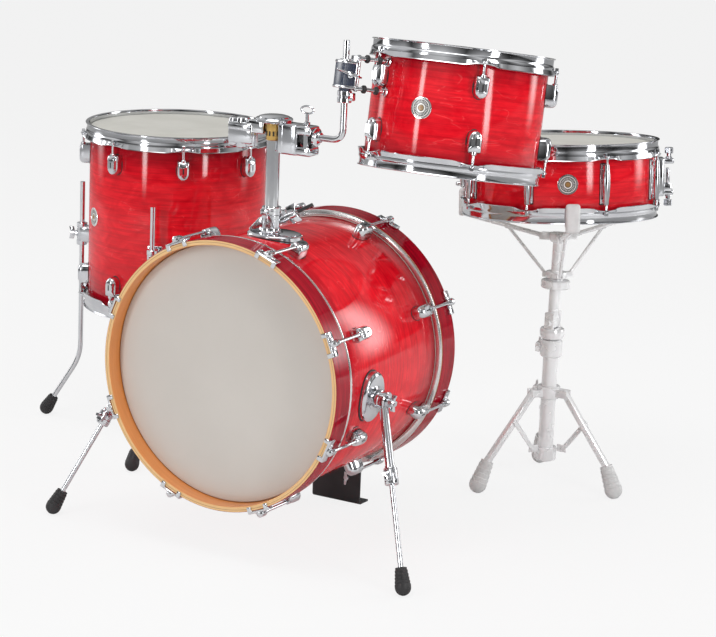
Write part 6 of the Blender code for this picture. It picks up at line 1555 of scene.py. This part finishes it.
hub_parts.append(boxed("tilter_knuckle", (0.018, 0.0224, 0.024), kit_place @ Matrix.Translation(pivot),
                       0.004, 3))
hub_parts.append(round_bar("tilter_pin", [(0.0044, -0.025), (0.0050, -0.0245), (0.0050, -0.0180),
                                          (0.0044, -0.0178), (0.0044, 0.0178), (0.0062, 0.0180),
                                          (0.0062, 0.0240), (0.0050, 0.025)],
                           kit_place @ aligned(pivot, (0, -1, 0)), 24))
for word, azimuth in ARM_SPOTS:
    arm_frame = snare_frame @ rotated(azimuth, "Z")
    for side in (1, -1):
        hub_parts.append(boxed("basket_ear", (0.020, 0.003, 0.014),
                               arm_frame @ shift(0.028, side * 0.0063, -HUB_DROP), 0.0008))
        hub_parts.append(boxed("brace_ear", (0.016, 0.0022, 0.010),
                               arm_frame @ shift(0.0235, side * 0.0048, -HUB_DROP - BRACE_DROP), 0.0006))
satin(joined("snare_basket_hub", hub_parts), "basket_tilt", "basket_hub")

for word, azimuth in ARM_SPOTS:
    arm_frame = snare_frame @ rotated(azimuth, "Z")
    start = Vector((ARM_OUT, 0, -HUB_DROP))
    end = Vector((HOOP_FACE + GRIP[0] / 2, 0, GRIP[2] + 0.0045))
    rod = wire("basket_rod", [start, end], 0.0045, arm_frame, sides=5)
    hold = start.lerp(end, BRACE_SHARE)
    brace = wire("basket_brace", [Vector((0.026, 0, -HUB_DROP - BRACE_DROP)), hold], 0.0032, arm_frame,
                 sides=4)
    pin = round_bar("arm_pin", mirrored([(0.0030, -0.0088), (0.0022, -0.0080)]),
                    arm_frame @ aligned(start, (0, 1, 0)), 16)
    eye = round_bar("brace_eye", mirrored([(0.0050, -0.0040), (0.0056, -0.0034)]),
                    arm_frame @ aligned(hold, (0, 1, 0)), 20)
    satin(joined(f"basket_{word}_arm", [rod, brace, pin, eye]), f"basket_arm_{word}", f"basket_arm_{word}")
    cushion = boxed("grip_post", (GRIP[0], GRIP[1], GRIP[3] - GRIP[2]),
                    arm_frame @ shift(HOOP_FACE + GRIP[0] / 2, 0, (GRIP[2] + GRIP[3]) / 2), 0.0060, 5)
    lip = boxed("grip_lip", (0.026, 0.024, 0.0050),
                arm_frame @ shift(HOOP_FACE - 0.007, 0, GRIP[2] + 0.0113), 0.0020, 3)
    fitted(joined(f"basket_{word}_grip", [cushion, lip]), f"basket_arm_{word}", "pale_steel", pale_rubber)

# Snare drum. Its eight long chrome lugs each take a rod from both hoops. A cast strainer with a throw-off
# lever and a butt plate, screwed to the shell, hold the set of steel wires against the lower film.
SNARE_WALL = 0.006
SNARE_LUG = (0.076, 0.0145, 0.0190)
STRAINER_AZIMUTH = 30.0
KNOB_SPOT = (0.0285, 0.030)
LEVER_PIVOT = (0.0270, -0.020)
BUTT_SCREW = (0.013, 0.0167)
WIRE_COUNT = 20
WIRE_HALF = 0.146
WIRE_SPREAD = 0.038
WIRE_HEIGHT = -SNARE_HALF - 0.0023

small_drum("snare", snare_frame, SNARE_RADIUS, SNARE_HALF, SNARE_WALL, SNARE_ANGLES, 0, SNARE_LUG,
           "basket_tilt", (-59.4, 0.0))
face = snare_frame @ at(STRAINER_AZIMUTH, SNARE_RADIUS, 0)
strainer = [boxed("strainer_body", (0.022, 0.034, 0.074), face @ shift(0.009, 0, 0), 0.0045, 4),
            boxed("strainer_plate", (0.006, 0.040, 0.078), face @ shift(0.000, 0, 0), 0.0020, 3)]
strainer += [boxed("strainer_shelf", (0.020, 0.017, 0.010), face @ shift(0.028, 0, side * 0.030), 0.0025, 3)
             for side in (1, -1)]
strainer += [boxed("strainer_ear", (0.015, 0.0038, 0.014), face @ shift(0.0265, side * 0.0112, -0.020),
                   0.0012, 2) for side in (1, -1)]
for side in (1, -1):
    knob = knurled(round_bar("strainer_knob", [(0.0058, 0.0045), (0.0062, 0.0052), (0.0062, 0.0075),
                                               (0.0044, 0.0080), (0.0044, 0.0140), (0.0070, 0.0142),
                                               (0.0080, 0.0150), (0.0080, 0.0246), (0.0066, 0.0258)],
                             Matrix(), KNURL_STEPS), 0.94)
    flip = rotated(0 if side > 0 else 180, "X")
    strainer.append(moved(knob, face @ shift(KNOB_SPOT[0], 0, side * KNOB_SPOT[1]) @ flip))
chromed(joined("snare_strainer_body", strainer), "basket_tilt", "snare_strainer")
block((0.0065, 0.018, 0.040), (0, 0, 0))
slice_at(2, (-0.006,))
pick(lambda middle, normal: normal.z < -0.9)
bpy.ops.transform.resize(value=(0.8, 0.62, 1))
rounded(0.0028, 4)
lever = done("lever_plate", face @ shift(LEVER_PIVOT[0], 0, -0.0035))
pin = round_bar("lever_pin", [(0.0020, -0.0128), (0.0020, 0.0128)],
                face @ aligned((LEVER_PIVOT[0], 0, LEVER_PIVOT[1]), (0, 1, 0)), 16)
chromed(joined("snare_throw_lever", [lever, pin]), "lever", "snare_lever")

face = snare_frame @ at(STRAINER_AZIMUTH + 180, SNARE_RADIUS, 0)
butt = [boxed("butt_body", (0.014, 0.032, 0.046), face @ shift(0.006, 0, 0), 0.0040, 4),
        boxed("butt_plate", (0.004, 0.036, 0.052), face @ shift(0.000, 0, 0), 0.0014, 2)]
butt += [round_bar("butt_screw", [(0.0046, 0.0), (0.0046, 0.0050), (0.0040, 0.0062), (0.0028, 0.0078)],
                   face @ shift(BUTT_SCREW[0], 0, side * BUTT_SCREW[1]) @ rotated(90, "Y"), 20)
         for side in (1, -1)]
chromed(joined("snare_butt_plate", butt), "basket_tilt", "snare_butt")

wire_place = snare_frame @ rotated(STRAINER_AZIMUTH, "Z") @ shift(0, 0, WIRE_HEIGHT)
strand = wire("snare_strand", [Vector((-WIRE_HALF, 0, 0)), Vector((WIRE_HALF, 0, 0))], 0.0006, Matrix(),
              sides=1)
spots = [wire_place @ shift(0, WIRE_SPREAD * (count / (WIRE_COUNT - 1) - 0.5), 0)
         for count in range(WIRE_COUNT)]
strands = copies("snare_strands", strand, spots)
clips = [boxed("wire_clip", (0.014, 0.040, 0.0014), wire_place @ shift(side * (WIRE_HALF + 0.006), 0, 0),
               0.0003, 1) for side in (1, -1)]
chromed(joined("snare_wire_set", [strands] + clips), "basket_tilt", "snare_wires")
